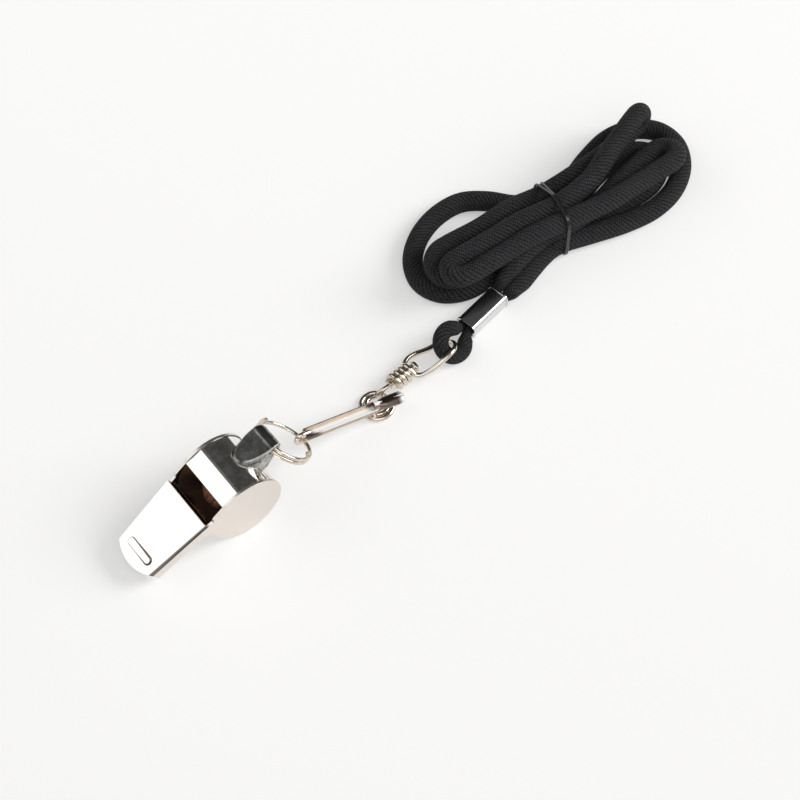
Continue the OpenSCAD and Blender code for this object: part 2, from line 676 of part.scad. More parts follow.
// Share of the sideways heading in the far strand's way back to the wraps
back_share = 0.9;
strand_share = 0.1;
bend_steps = 9;
function wrap_point(a) = wraps_start + wrap_pitch * a / 360 * stem_x
    + wrap_r * (cos(a) * stem_y + sin(a) * [0, 0, 1]);
function on_eye_loop(a) = loop_far_c + eye_loop_a * cos(a) * eye_loop_x + eye_loop_b * sin(a) * eye_loop_y;
module eye_loop() {
    keep = eye_loop_l * leave_share;
    from = wrap_point(wraps * 360);
    leave_way = [0, 0, -cos(wraps * 360)] + sin(wraps * 360) * stem_y;
    back = wrap_point(floor(wraps) * 360) + (eye_wire_r + touch) * stem_x;
    high = on_eye_loop(-bow_angle);
    high_way = unit(on_eye_loop(90 - bow_angle) - loop_far_c);
    low = on_eye_loop(90);
    path = concat(
        [wrap_point(-360 / wrap_steps) - eye_wire_r / 2 * stem_x],
        [for (i = [0:wrap_steps * wraps]) wrap_point(360 * i / wrap_steps)],
        [for (t = [strand_share:strand_share:1 - strand_share / 2])
            curve(from, -keep * leave_way, high, eye_loop_l * bow_share * high_way, t)],
        [for (i = [0:bend_steps]) let (a = (bow_angle + 90) * i / bend_steps - bow_angle)
            on_eye_loop(a)],
        [for (t = [strand_share:strand_share:1 - strand_share / 2])
            curve(low, -eye_loop_l * eye_loop_x, back, -keep * unit(stem_x + back_share * stem_y), t)],
        [back]);
    color("silver") plain_tube(path, eye_wire_r, 8, stem_y);
}

// The cord's eye round the far bend, and the ferrule that grips it
eye_cord_r = eye_cord_d / 2;
cord_r = cord_d / 2;
eye_c = loop_far_c + eye_loop_a * eye_loop_x + [0, 0, eye_sink];
eye_x = [cos(ferrule_turn), sin(ferrule_turn), 0];
eye_y = [-sin(ferrule_turn) * cos(eye_tilt), cos(ferrule_turn) * cos(eye_tilt), sin(eye_tilt)];
ferrule_way = ferrule_turn + ferrule_swing;
ferrule_start = [eye_c[0], eye_c[1], ferrule_h / 2 + strand_gap]
    + (cord_eye_r + eye_cord_r + ferrule_gap) * [cos(ferrule_way), sin(ferrule_way), 0];
eye_ring_steps = 18;
// Half angle of the eye that its two legs leave open, and shares of the squeezed strand's size
eye_open = 62;
leg_place_share = 0.52;
leg_pull_share = 2;
leg_swell_share = 1.2;
leg_shares = [0, 0.3, 0.65];
module cord_eye() {
    leg = crimped_d * leg_place_share * cross([0, 0, 1], eye_x);
    from = eye_c + cord_eye_r * (cos(eye_open) * eye_x - sin(eye_open) * eye_y);
    to = eye_c + cord_eye_r * (cos(eye_open) * eye_x + sin(eye_open) * eye_y);
    ways = [for (s = [-1, 1]) sin(eye_open) * eye_x + s * cos(eye_open) * eye_y];
    pull = crimped_d * leg_pull_share * eye_x;
    leg_radii = [for (t = leg_shares) blend(crimped_d / 2, eye_cord_r, ease(t * leg_swell_share))];
    legs = [for (i = [0:2])
        [curve(ferrule_start - leg, -pull, from, cord_eye_r * -ways[1], leg_shares[i]), leg_radii[i]]];
    round = [for (i = [0:eye_ring_steps]) let (a = -eye_open - (360 - 2 * eye_open) * i / eye_ring_steps)
        [eye_c + cord_eye_r * (cos(a) * eye_x + sin(a) * eye_y), eye_cord_r]];
    back = [for (i = [2:-1:0])
        [curve(ferrule_start + leg, -pull, to, cord_eye_r * -ways[0], leg_shares[i]), leg_radii[i]]];
    all = concat(legs, round, back);
    color("#26262a") tube([for (p = all) p[0]], [for (p = all) p[1]], 10, [0, 0, 1]);
}

// The ferrule: a rounded sleeve with a rim at each end
ferrule_end = ferrule_start + ferrule_l * eye_x;
module rounded_box(w, h, r) {
    square([w - 2 * r, h], center = true);
    square([w, h - 2 * r], center = true);
    for (x = [-1, 1]) for (y = [-1, 1]) translate([x * (w / 2 - r), y * (h / 2 - r)])
        circle(r = r, $fn = round_fn / 2);
}
module ferrule() {
    rim_w = ferrule_w + 2 * ferrule_rim;
    rim_h = ferrule_h + 2 * ferrule_rim;
    color("dimgray") translate(ferrule_start) rotate([90, 0, 90 + ferrule_turn]) difference() {
        union() {
            linear_extrude(height = ferrule_l) rounded_box(ferrule_w, ferrule_h, ferrule_round);
            for (x = [0, ferrule_l - ferrule_t]) translate([0, 0, x]) linear_extrude(height = ferrule_t)
                rounded_box(rim_w, rim_h, ferrule_round + ferrule_rim);
        }
        translate([0, 0, -cut]) linear_extrude(height = ferrule_l + 2 * cut)
            rounded_box(ferrule_w - 2 * ferrule_t, ferrule_h - 2 * ferrule_t, ferrule_round - ferrule_t);
    }
}

// The cut end of the cord, frayed short where it leaves the ferrule
tail_end_shares = [1.2, 0.6];
tail_side_shares = [0.25, 0.6];
module cord_tail() {
    root = ferrule_end + [0, 0, ferrule_h / 2 - ferrule_t - tail_r]
        - crimped_d / 2 * cross([0, 0, 1], eye_x);
    path = [root - tail_l * eye_x, root, root + tail_l * (eye_x / 2 - [0, tail_side_shares[0], 0]),
        root + tail_l * (eye_x - [0, tail_side_shares[1], 0])];
    color("#26262a") tube(path, tail_r * concat([1, 1], tail_end_shares), 8, [0, 0, 1]);
}

// The hank lies along its own axis: lengths in its tables are shares of the strands' pitch
pitch = cord_d + strand_gap;
row_share = 0.97;
function turned(p) = [p[0] * cos(hank_turn) - p[1] * sin(hank_turn),
    p[0] * sin(hank_turn) + p[1] * cos(hank_turn), p[2]];
// Where the leads leave the ferrule, from the middle of the waist
lead_shares = [-4.21, -2.98, 0];
waist_c = ferrule_end - pitch * turned(lead_shares);
// Places of the eight strands at the waist: across, and row
waist_shares = [
    [-1.23, 0], [1.4, 0], [-0.17, 0], [0.17, 1],
    [1.24, 1], [-0.25, 2], [-1.25, 2], [-0.96, 1]];
// Folds: middle along and across, half height, depth, heading, shear, height in and out, climb in and out
right_fold_shares = [
    [5.1, 1.4, 2.53, 3, 15, 0.5, 0, 0, 0, 0],
    [5, 1.36, 1.28, 1.7, 14, 0.2, 0, 0, 0, -0.15],
    [6, 3.15, 0, 0.5, 28, 0, 1.3, 2.3, 0.42, 0.15],
    [6.5, 0.95, 0.66, 0.75, 14, 0, 1.5, 1, 0, 0]];
left_fold_shares = [
    [-4.6, 0.55, 2.5, 2.75, 0, 0.9, 0, 0, 0, 0],
    [-5.7, -0.75, 1, 1.05, 3, 0.1, 1, 1, 0, 0.1],
    [-5.8, -1.85, 0.52, 0.6, 9, 0, 2, 2, 0, 0]];
run_rings = 3;
fold_rings = 6;
lead_rings = 6;
function waist_point(i) = [0, pitch * waist_shares[i][0],
    tie_t + cord_r + pitch * row_share * waist_shares[i][1]];
function fold_of(i) = i % 2 == 0 ? right_fold_shares[floor(i / 2)] : left_fold_shares[floor(i / 2)];

// Rings of one fold: from the waist out, round, and back to the waist
function fold_rings_of(i) =
    let (f = fold_of(i), way = i % 2 == 0 ? 1 : -1,
        out = way * [cos(f[4]), sin(f[4]), 0],
        side = waist_shares[i][0] > waist_shares[i + 1][0] ? 1 : -1,
        up = pitch * side * (f[2] * [-sin(f[4]), cos(f[4]), 0] + [f[5], 0, 0]),
        mid = [pitch * f[0], pitch * f[1], cord_r + pitch * (f[6] + f[7]) / 2],
        lift = [0, 0, pitch * (f[6] - f[7]) / 2],
        a = mid + up + lift, b = mid - up - lift, from = waist_point(i), to = waist_point(i + 1),
        pull_a = norm(a - from), pull_b = norm(b - to))
    concat([for (k = [0:run_rings - 1])
            curve(from, pull_a * [way, 0, f[8]], a, pull_a * out, k / run_rings)],
        [for (k = [0:fold_rings]) let (t = 90 - 180 * k / fold_rings)
            mid + pitch * f[3] * cos(t) * out + sin(t) * (up + lift)],
        [for (k = [run_rings - 1:-1:1])
            curve(to, pull_b * [way, 0, f[9]], b, pull_b * out, k / run_rings)]);

// A lead from the ferrule to the waist, full round half way along
lead_pull_share = 3.9;
lead_spread = 11.5;
lead_place_share = 0.62;
lead_climb_share = 0.7;
function lead(i, side) =
    let (level = ferrule_turn - hank_turn, turn = level + side * lead_spread,
        aside = side * crimped_d * lead_place_share * [-sin(level), cos(level), 0],
        from = pitch * lead_shares + [0, 0, ferrule_end[2]] + aside, keep = pitch * lead_pull_share,
        way = keep * [cos(turn), sin(turn), i == 0 ? 0 : lead_climb_share])
    [for (k = [0:lead_rings - 1]) let (t = k / lead_rings)
        concat(curve(from, way, waist_point(i), keep * [1, 0, 0], t),
            blend(crimped_d / 2, cord_r, min(1, 2 * t)))];
function full(p) = concat(p, cord_r);
function reversed(l) = [for (i = [len(l) - 1:-1:0]) l[i]];
hank_path = concat(lead(0, -1), [for (i = [0:6]) for (p = fold_rings_of(i)) full(p)],
    [full(waist_point(7))], reversed(lead(7, 1)));

// Least gap of the hank to itself, measured on points along the strands, ends apart
fine_share = 0.25;
apart_share = 3.2;
apart_points = 8;
fine_path = [for (i = [0:len(hank_path) - 2]) for (t = [0:fine_share:1 - fine_share])
    blend(hank_path[i], hank_path[i + 1], t)];
function place(p) = [p[0], p[1], p[2]];
steps = [for (i = [0:len(fine_path) - 2]) norm(place(fine_path[i + 1]) - place(fine_path[i]))];
runs = [for (i = 0, l = 0; i < len(fine_path); i = i + 1,
    l = l + (i <= len(steps) ? steps[i - 1] : 0)) l];
hank_l = runs[len(runs) - 1];
function gap_of(i, j) = norm(place(fine_path[i]) - place(fine_path[j])) - fine_path[i][3] - fine_path[j][3];
least_gap = min([for (i = [0:len(fine_path) - 1])
    min([hank_l, for (j = [i + apart_points:len(fine_path) - 1])
    if (runs[j] - runs[i] > apart_share * cord_d) gap_of(i, j)])]);
echo(origin_shift = -(front_x + rear_x) / 2);
echo(least_gap_of_the_hank = least_gap, length_of_the_hank = hank_l);

module cord_hank() {
    path = [for (p = hank_path) [waist_c[0], waist_c[1], 0] + turned(place(p))];
    color("#26262a") tube(path, [for (p = hank_path) p[3]], 6, [0, 0, 1]);
}

// The band round the hank's waist
module waist_outline(r) {
    hull() for (i = [0:7]) translate([waist_point(i)[1], waist_point(i)[2]]) circle(r = r, $fn = 32);
}
module hank_tie() {
    color("#0c0c0e") translate([waist_c[0], waist_c[1], 0]) rotate([0, 0, hank_turn]) rotate([90, 0, 90])
        translate([0, 0, -tie_w / 2]) linear_extrude(height = tie_w) difference() {
            waist_outline(cord_r + tie_t - tie_bite);
            waist_outline(cord_r - tie_bite);
        }
}

// The part's origin lies under the middle of the whistle and the hook
front_x = leaned(-mouth_reach, top_z)[0];
rear_x = loop_far_c[0] + eye_loop_a + eye_wire_r;
module placed() {
    translate([-(front_x + rear_x) / 2, 0, 0]) children();
}

placed() left_side_plate();
placed() right_side_plate();
placed() barrel_band();
placed() mouthpiece_top();
placed() mouthpiece_bottom();
placed() windway_floor();
placed() cork_pea();
placed() bail();
placed() split_ring();
placed() hook_wire();
placed() swivel_stem();
placed() hinge_boss();
placed() hinge_pin();
placed() gate_lever();
placed() eye_loop();
placed() cord_eye();
placed() ferrule();
placed() cord_tail();
placed() cord_hank();
placed() hank_tie();
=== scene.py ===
import math

import bmesh
import bpy
import numpy as np
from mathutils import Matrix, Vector, noise


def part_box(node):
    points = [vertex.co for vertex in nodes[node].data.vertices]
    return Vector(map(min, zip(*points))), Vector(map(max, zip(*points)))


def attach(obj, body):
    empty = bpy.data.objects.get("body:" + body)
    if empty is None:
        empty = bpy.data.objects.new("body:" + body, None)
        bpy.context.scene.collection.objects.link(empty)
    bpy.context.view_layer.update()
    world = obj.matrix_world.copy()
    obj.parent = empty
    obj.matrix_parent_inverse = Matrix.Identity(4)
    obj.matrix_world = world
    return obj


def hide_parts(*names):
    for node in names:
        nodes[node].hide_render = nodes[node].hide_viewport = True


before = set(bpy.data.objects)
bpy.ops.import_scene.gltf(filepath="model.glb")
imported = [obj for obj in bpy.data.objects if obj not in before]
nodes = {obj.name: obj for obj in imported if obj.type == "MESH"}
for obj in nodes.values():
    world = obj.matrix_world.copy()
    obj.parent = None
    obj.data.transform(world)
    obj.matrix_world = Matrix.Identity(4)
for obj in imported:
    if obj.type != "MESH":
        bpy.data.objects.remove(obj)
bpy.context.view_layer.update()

MM = 0.001


# ------------------------------------------------- sizes, as in the part's source, in mm
DISC_R = 10.0
BAND_R = 9.75
BAND_T = 0.6
MOUTH_REACH = 28.7
MOUTH_H = 5.5
WINDOW_FRONT = 8.1
FLANGE_H = 1.35
RIDGE_L = 8.6
RIDGE_W = 1.9
RIDGE_BACK = 4.1
BAIL_ANGLE = 52.3
BAIL_REACH = 15.0
RING_R = 7.25
RING_WIRE_R = 0.52
RING_TILT = 44
WIRE_R = 0.68
NOSE_R = 1.45
TIP_L = 2.2
SHANK_L = 21.6
SHANK_FALL = 14.1
HOOK_TURN = 3.6
PIN_R = 0.36
PIN_CLEAR = 0.04
THUMB_R = 1.15
THUMB_L = 7.2
LOOP_R = 4.15
LOOP_GAP = 0.06
STEM_R = 1.12
STEM_CLEAR = 0.1
EYE_WIRE_R = 0.72
WRAPS = 3.375
EYE_LOOP_L = 9.7
EYE_LOOP_B = 4.3
EYE_LOOP_A = 4.1
CORD_D = 4.6
EYE_CORD_D = 4.0
CORD_EYE_R = 3.6
CRIMPED_D = 2.1
FERRULE_L = 13.2
FERRULE_H = 4.6
FERRULE_T = 0.45
STRAND_GAP = 0.66
TIE_T = 0.5

Z = np.array([0.0, 0.0, 1.0])


def v3(x, y, z):
    return np.array([x, y, z], float)


def cosd(a):
    return math.cos(math.radians(a))


def sind(a):
    return math.sin(math.radians(a))


def unit(v):
    return v / np.linalg.norm(v)


def mix(a, b, t):
    return a + (b - a) * t


def ease(t):
    c = max(0.0, min(1.0, t))
    return c * c * (3 - 2 * c)


def curve(p, u, q, v, t):
    """Cubic curve from p to q that starts along u and ends along v."""
    return mix(p, q, t * t * (3 - 2 * t)) + t * (1 - t) ** 2 * u + t * t * (t - 1) * v


# ------------------------------------------------------------------ placing, as in the part's source
LEAN_L = math.hypot(MOUTH_REACH, DISC_R - MOUTH_H)
LEAN = math.degrees(math.acos(-DISC_R / LEAN_L)) - math.degrees(math.atan2(MOUTH_REACH, DISC_R - MOUTH_H))


def leaned(x, z):
    return v3(x * cosd(LEAN) - z * sind(LEAN), 0, DISC_R + x * sind(LEAN) + z * cosd(LEAN))


BAIL_EYE = v3(BAIL_REACH * sind(BAIL_ANGLE), 0, DISC_R + BAIL_REACH * cosd(BAIL_ANGLE))
RING_OUT = v3(cosd(RING_TILT), 0, -sind(RING_TILT))
RING_UP = v3(sind(RING_TILT), 0, cosd(RING_TILT))
RING_C = BAIL_EYE + RING_R * RING_OUT
RING_START = -35
RING_RUN = 590
RING_JOG_FROM = 240
RING_JOG_RUN = 130
RING_TURN_SHARE = 1.03
HOOK_GRIP_ANGLE = 3


def ring_point(run):
    a = RING_START - run
    jog = ease((run - RING_JOG_FROM) / RING_JOG_RUN)
    return (RING_C + RING_R * (cosd(a) * RING_OUT + v3(0, sind(a), 0))
            + RING_WIRE_R * RING_TURN_SHARE * (2 * jog - 1) * RING_UP)


NOSE = ring_point(360 + RING_START - HOOK_GRIP_ANGLE)
HOOK_X = v3(cosd(HOOK_TURN), -sind(HOOK_TURN), 0)
SHANK_X = cosd(SHANK_FALL) * HOOK_X - v3(0, 0, sind(SHANK_FALL))
SHANK_Z = sind(SHANK_FALL) * HOOK_X + v3(0, 0, cosd(SHANK_FALL))
HINGE = NOSE + SHANK_L * SHANK_X - NOSE_R * SHANK_Z
BOSS_SHARE = 1.25
GATE_FLOOR_Z = WIRE_R * BOSS_SHARE + 2 * PIN_CLEAR
EAR_SHARE = 2.6
THUMB_PLACE_SHARE = 0.6
THUMB_TURN = 9
THUMB_FALL = 4
THUMB_WAY = -HOOK_TURN - THUMB_TURN
THUMB_START = HINGE + PIN_R * EAR_SHARE * THUMB_PLACE_SHARE * SHANK_X + (GATE_FLOOR_Z + THUMB_R) * SHANK_Z

TURN_STEP = 2 * WIRE_R + LOOP_GAP
LOOP_Z = WIRE_R
LOOP_PLACE_SHARES = (0.75, 0.4)
LOOP_C = v3(HINGE[0] + LOOP_R * LOOP_PLACE_SHARES[0], HINGE[1] + LOOP_R * LOOP_PLACE_SHARES[1], 0)
LOOP_IN = -42
LOOP_OUT = 62
LOOP_RUN = 720 - (LOOP_OUT - LOOP_IN)
LOOP_STEP_FROM = 0.35
LOOP_STEP_TURNS = 0.9

STEM_Z = STEM_R + STEM_CLEAR + 2 * EYE_WIRE_R
STEM_TURN = 3.8
STEM_X = v3(cosd(STEM_TURN), sind(STEM_TURN), 0)
STEM_Y = v3(-sind(STEM_TURN), cosd(STEM_TURN), 0)
STEM_END_CLEAR = 0.3
STEM_PLACE_SHARES = (1.32, 0.42)
STEM_START = v3(LOOP_C[0] + LOOP_R * STEM_PLACE_SHARES[0], LOOP_C[1] + LOOP_R * STEM_PLACE_SHARES[1], STEM_Z)


def loop_point(t):
    a = LOOP_IN - LOOP_RUN * t
    r = LOOP_R - TURN_STEP * ease((LOOP_RUN * t / 360 - LOOP_STEP_FROM) / LOOP_STEP_TURNS)
    return v3(LOOP_C[0] + r * cosd(a), LOOP_C[1] + r * sind(a), LOOP_Z)


def nose_point(a):
    return NOSE + NOSE_R * (sind(a) * SHANK_Z + cosd(a) * SHANK_X)


WRAP_PITCH = 2 * EYE_WIRE_R + LOOP_GAP
WRAP_R = STEM_R + STEM_CLEAR + EYE_WIRE_R
WRAPS_START = STEM_START + 2 * STEM_END_CLEAR * STEM_X + EYE_WIRE_R * STEM_X
WRAPS_END = WRAPS_START + WRAPS * WRAP_PITCH * STEM_X
EYE_LOOP_TILT = 36
EYE_LOOP_TURN = -3.3
EYE_LOOP_CLIMB = 6
LOOP_FAR_C = WRAPS_END + EYE_LOOP_L * v3(cosd(EYE_LOOP_TURN) * cosd(EYE_LOOP_CLIMB),
                                         sind(EYE_LOOP_TURN) * cosd(EYE_LOOP_CLIMB), sind(EYE_LOOP_CLIMB))
EYE_LOOP_X = unit(LOOP_FAR_C - WRAPS_END)
EYE_LOOP_Y = unit(cosd(EYE_LOOP_TILT) * np.cross(Z, EYE_LOOP_X) - v3(0, 0, sind(EYE_LOOP_TILT)))


def wrap_point(a):
    return WRAPS_START + WRAP_PITCH * a / 360 * STEM_X + WRAP_R * (cosd(a) * STEM_Y + sind(a) * Z)


EYE_SINK = 0.17
EYE_CORD_R = EYE_CORD_D / 2
CORD_R = CORD_D / 2
EYE_C = LOOP_FAR_C + EYE_LOOP_A * EYE_LOOP_X + v3(0, 0, EYE_SINK)
EYE_TILT = 40
FERRULE_TURN = 10.5
EYE_X = v3(cosd(FERRULE_TURN), sind(FERRULE_TURN), 0)
EYE_SIDE = np.cross(Z, EYE_X)
EYE_Y = v3(-sind(FERRULE_TURN) * cosd(EYE_TILT), cosd(FERRULE_TURN) * cosd(EYE_TILT), sind(EYE_TILT))
FERRULE_ASIDE_TURN = 9
FERRULE_CLEAR = 0.6
FERRULE_WAY = FERRULE_TURN + FERRULE_ASIDE_TURN
FERRULE_START = (v3(EYE_C[0], EYE_C[1], FERRULE_H / 2 + STRAND_GAP)
                 + (CORD_EYE_R + EYE_CORD_R + FERRULE_CLEAR) * v3(cosd(FERRULE_WAY), sind(FERRULE_WAY), 0))
FERRULE_END = FERRULE_START + FERRULE_L * EYE_X

FRONT_X = leaned(-MOUTH_REACH, DISC_R)[0]
REAR_X = LOOP_FAR_C[0] + EYE_LOOP_A + EYE_WIRE_R
SHIFT = v3(-(FRONT_X + REAR_X) / 2, 0, 0)


# ------------------------------------------------------------------ camera
CAMERA_STAND = v3(-136.6, -247.0, 513.9)
CAMERA_TARGET = v3(52.0, -1.3, 0)
CAMERA_LENS = 106.1


def make_camera():
    data = bpy.data.cameras.new("camera")
    data.sensor_width = 36
    data.lens = CAMERA_LENS
    data.clip_start = 0.01
    data.clip_end = 10
    cam = bpy.data.objects.new("camera", data)
    bpy.context.scene.collection.objects.link(cam)
    stand = Vector(CAMERA_STAND + SHIFT) * MM
    target = Vector(CAMERA_TARGET + SHIFT) * MM
    cam.location = stand
    cam.rotation_mode = "QUATERNION"
    cam.rotation_quaternion = (target - stand).to_track_quat("-Z", "Y")
    bpy.context.scene.camera = cam


make_camera()


# ------------------------------------------------------------------ the hank's line, as in the part's source
PITCH = CORD_D + STRAND_GAP
ROW_SHARE = 0.97
HANK_TURN = -15
# Places across the waist, in strand pitches, and the row that each lies in
WAIST_SHARES = [(-1.23, 0), (1.4, 0), (-0.17, 0), (0.17, 1), (1.24, 1), (-0.25, 2), (-1.25, 2), (-0.96, 1)]
# Each fold: place in x and y, half its spread, its bulge, turn and slant, the level of its two strands,
# and how they climb at the waist. Lengths are in strand pitches.
RIGHT_FOLDS = [
    (5.1, 1.4, 2.53, 3, 15, 0.5, 0, 0, 0, 0),
    (5, 1.36, 1.28, 1.7, 14, 0.2, 0, 0, 0, -0.15),
    (6, 3.15, 0, 0.5, 28, 0, 1.3, 2.3, 0.42, 0.15),
    (6.5, 0.95, 0.66, 0.75, 14, 0, 1.5, 1, 0, 0)]
LEFT_FOLDS = [
    (-4.6, 0.55, 2.5, 2.75, 0, 0.9, 0, 0, 0, 0),
    (-5.7, -0.75, 1, 1.05, 3, 0.1, 1, 1, 0, 0.1),
    (-5.8, -1.85, 0.52, 0.6, 9, 0, 2, 2, 0, 0)]
RUN_RINGS = 3
FOLD_RINGS = 6
# The two leads from the ferrule to the waist
LEAD_SHARES = v3(-4.21, -2.98, 0)
LEAD_RINGS = 6
LEAD_PULL = 3.9
LEAD_SPREAD = 11.5
LEAD_PLACE_SHARE = 0.62
LEAD_CLIMB_SHARE = 0.7
LEAD_SWELL = 3.5


def turned(p):
    return v3(p[0] * cosd(HANK_TURN) - p[1] * sind(HANK_TURN),
              p[0] * sind(HANK_TURN) + p[1] * cosd(HANK_TURN), p[2])


WAIST_C = FERRULE_END - PITCH * turned(LEAD_SHARES)


def waist_point(i):
    return v3(0, PITCH * WAIST_SHARES[i][0], TIE_T + CORD_R + PITCH * ROW_SHARE * WAIST_SHARES[i][1])


def fold_rings_of(i):
    folds, way = (RIGHT_FOLDS, 1) if i % 2 == 0 else (LEFT_FOLDS, -1)
    x, y, spread, bulge, turn, slant, level_a, level_b, climb_a, climb_b = folds[i // 2]
    out = way * v3(cosd(turn), sind(turn), 0)
    side = 1 if WAIST_SHARES[i][0] > WAIST_SHARES[i + 1][0] else -1
    up = PITCH * side * (spread * v3(-sind(turn), cosd(turn), 0) + v3(slant, 0, 0))
    mid = v3(PITCH * x, PITCH * y, CORD_R + PITCH * (level_a + level_b) / 2)
    lift = v3(0, 0, PITCH * (level_a - level_b) / 2)
    a, b = mid + up + lift, mid - up - lift
    start, end = waist_point(i), waist_point(i + 1)
    pull_a, pull_b = np.linalg.norm(a - start), np.linalg.norm(b - end)
    rings = [curve(start, pull_a * v3(way, 0, climb_a), a, pull_a * out, k / RUN_RINGS)
             for k in range(RUN_RINGS)]
    for k in range(FOLD_RINGS + 1):
        t = 90 - 180 * k / FOLD_RINGS
        rings.append(mid + PITCH * bulge * cosd(t) * out + sind(t) * (up + lift))
    rings += [curve(end, pull_b * v3(way, 0, climb_b), b, pull_b * out, k / RUN_RINGS)
              for k in range(RUN_RINGS - 1, 0, -1)]
    return [(p, CORD_R) for p in rings]


def lead(i, side):
    level = FERRULE_TURN - HANK_TURN
    turn = level + side * LEAD_SPREAD
    aside = side * CRIMPED_D * LEAD_PLACE_SHARE * v3(-sind(level), cosd(level), 0)
    start = PITCH * LEAD_SHARES + v3(0, 0, FERRULE_END[2]) + aside
    keep = PITCH * LEAD_PULL
    way = keep * v3(cosd(turn), sind(turn), 0 if i == 0 else LEAD_CLIMB_SHARE)
    rings = []
    for k in range(LEAD_RINGS):
        t = k / LEAD_RINGS
        rings.append((curve(start, way, waist_point(i), keep * v3(1, 0, 0), t),
                      mix(CRIMPED_D / 2, CORD_R, min(1, LEAD_SWELL * t))))
    return rings


FOLDS = len(RIGHT_FOLDS) + len(LEFT_FOLDS)
HANK_RINGS = lead(0, -1)
for fold in range(FOLDS):
    HANK_RINGS += fold_rings_of(fold)
HANK_RINGS += [(waist_point(FOLDS), CORD_R)] + lead(FOLDS, 1)[::-1]
HANK_BASE = v3(WAIST_C[0], WAIST_C[1], 0)
HANK_PATH = [HANK_BASE + turned(p) for p, r in HANK_RINGS]
HANK_RADII = [r for p, r in HANK_RINGS]


# ------------------------------------------------------------------ mesh tools
CAP_ANGLES = (25, 48, 68, 84)
FLOOR_CLEAR = 0.01


def smooth_path(points, radii, step):
    """Points and radii along a smooth line through the given points, about step apart."""
    p = np.array(points)
    r = np.array(radii, float)
    chord = np.sqrt(np.linalg.norm(np.diff(p, axis=0), axis=1))
    t = np.concatenate([[0], np.cumsum(chord)])
    ext = np.vstack([2 * p[0] - p[1], p, 2 * p[-1] - p[-2]])
    et = np.concatenate([[t[0] - chord[0]], t, [t[-1] + chord[-1]]])
    out, rad = [], []
    for i in range(len(p) - 1):
        n = max(1, int(round(np.linalg.norm(p[i + 1] - p[i]) / step)))
        p0, p1, p2, p3 = ext[i:i + 4]
        t0, t1, t2, t3 = et[i:i + 4]
        for k in range(n):
            x = t1 + (t2 - t1) * k / n
            a1 = (t1 - x) / (t1 - t0) * p0 + (x - t0) / (t1 - t0) * p1
            a2 = (t2 - x) / (t2 - t1) * p1 + (x - t1) / (t2 - t1) * p2
            a3 = (t3 - x) / (t3 - t2) * p2 + (x - t2) / (t3 - t2) * p3
            b1 = (t2 - x) / (t2 - t0) * a1 + (x - t0) / (t2 - t0) * a2
            b2 = (t3 - x) / (t3 - t1) * a2 + (x - t1) / (t3 - t1) * a3
            out.append((t2 - x) / (t2 - t1) * b1 + (x - t1) / (t2 - t1) * b2)
            rad.append(mix(r[i], r[i + 1], ease(k / n)))
    return np.array(out + [p[-1]]), np.array(rad + [r[-1]])


def tube_faces(rings, sides):
    """The faces between rings of points, without the two ends."""
    return [(i * sides + k, i * sides + (k + 1) % sides,
             (i + 1) * sides + (k + 1) % sides, (i + 1) * sides + k)
            for i in range(rings - 1) for k in range(sides)]


def end_faces(rings, sides):
    return [tuple(range(sides - 1, -1, -1)), tuple((rings - 1) * sides + k for k in range(sides))]


def sweep(path, radii, sides, side0):
    """A round-ended tube along a path: vertices, faces and, per face, shares round it and lengths along."""
    path, radii = list(path), list(radii)
    for at_end in (False, True):
        q, r = (path[-1], radii[-1]) if at_end else (path[0], radii[0])
        n = unit(path[-1] - path[-2]) if at_end else unit(path[0] - path[1])
        caps = [(q + n * r * sind(a), r * cosd(a)) for a in CAP_ANGLES]
        if at_end:
            path += [c[0] for c in caps]
            radii += [c[1] for c in caps]
        else:
            path = [c[0] for c in caps[::-1]] + path
            radii = [c[1] for c in caps[::-1]] + radii
    path = np.array(path)
    n = len(path)
    tangents = np.array([unit(path[min(i + 1, n - 1)] - path[max(i - 1, 0)]) for i in range(n)])
    normal = np.asarray(side0, float)
    verts, run = [], [0.0]
    for i in range(n):
        normal = unit(normal - np.dot(normal, tangents[i]) * tangents[i])
        other = np.cross(tangents[i], normal)
        for k in range(sides):
            a = 2 * math.pi * k / sides
            verts.append(path[i] + radii[i] * (math.cos(a) * normal + math.sin(a) * other))
        if i:
            run.append(run[-1] + np.linalg.norm(path[i] - path[i - 1]))
    uvs = [((k / sides, run[i]), ((k + 1) / sides, run[i]),
            ((k + 1) / sides, run[i + 1]), (k / sides, run[i + 1]))
           for i in range(n - 1) for k in range(sides)]
    uvs += [((0, 0),) * sides] * 2
    return verts, tube_faces(n, sides) + end_faces(n, sides), uvs


def piece_of(name, mesh, material, body):
    """A smooth piece of one material that rides on a body."""
    mesh.polygons.foreach_set("use_smooth", [True] * len(mesh.polygons))
    mesh.materials.append(material)
    o = bpy.data.objects.new(name, mesh)
    bpy.context.scene.collection.objects.link(o)
    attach(o, body)
    return o


def object_of(name, verts, faces, material, body, uvs=None):
    mesh = bpy.data.meshes.new(name)
    mesh.from_pydata([tuple((np.asarray(v) + SHIFT) * MM) for v in verts], [], faces)
    if uvs is not None:
        layer = mesh.uv_layers.new(name="UVMap")
        for face, uv in zip(mesh.polygons, uvs):
            for loop, c in zip(face.loop_indices, uv):
                layer.data[loop].uv = c
    mesh.update()
    mesh.validate()
    return piece_of(name, mesh, material, body)


def make_tube(name, points, radii, step, sides, side0, material, body, slot, *replaced):
    """A tube along a smooth line that stays above the floor, in place of the solids named last."""
    path, rad = smooth_path(points, radii, step)
    verts, faces, uvs = sweep(path, rad, sides, side0)
    verts = [v3(v[0], v[1], max(v[2], FLOOR_CLEAR)) for v in verts]
    o = object_of(name, verts, faces, material, body, uvs)
    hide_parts(*replaced)
    return o, path


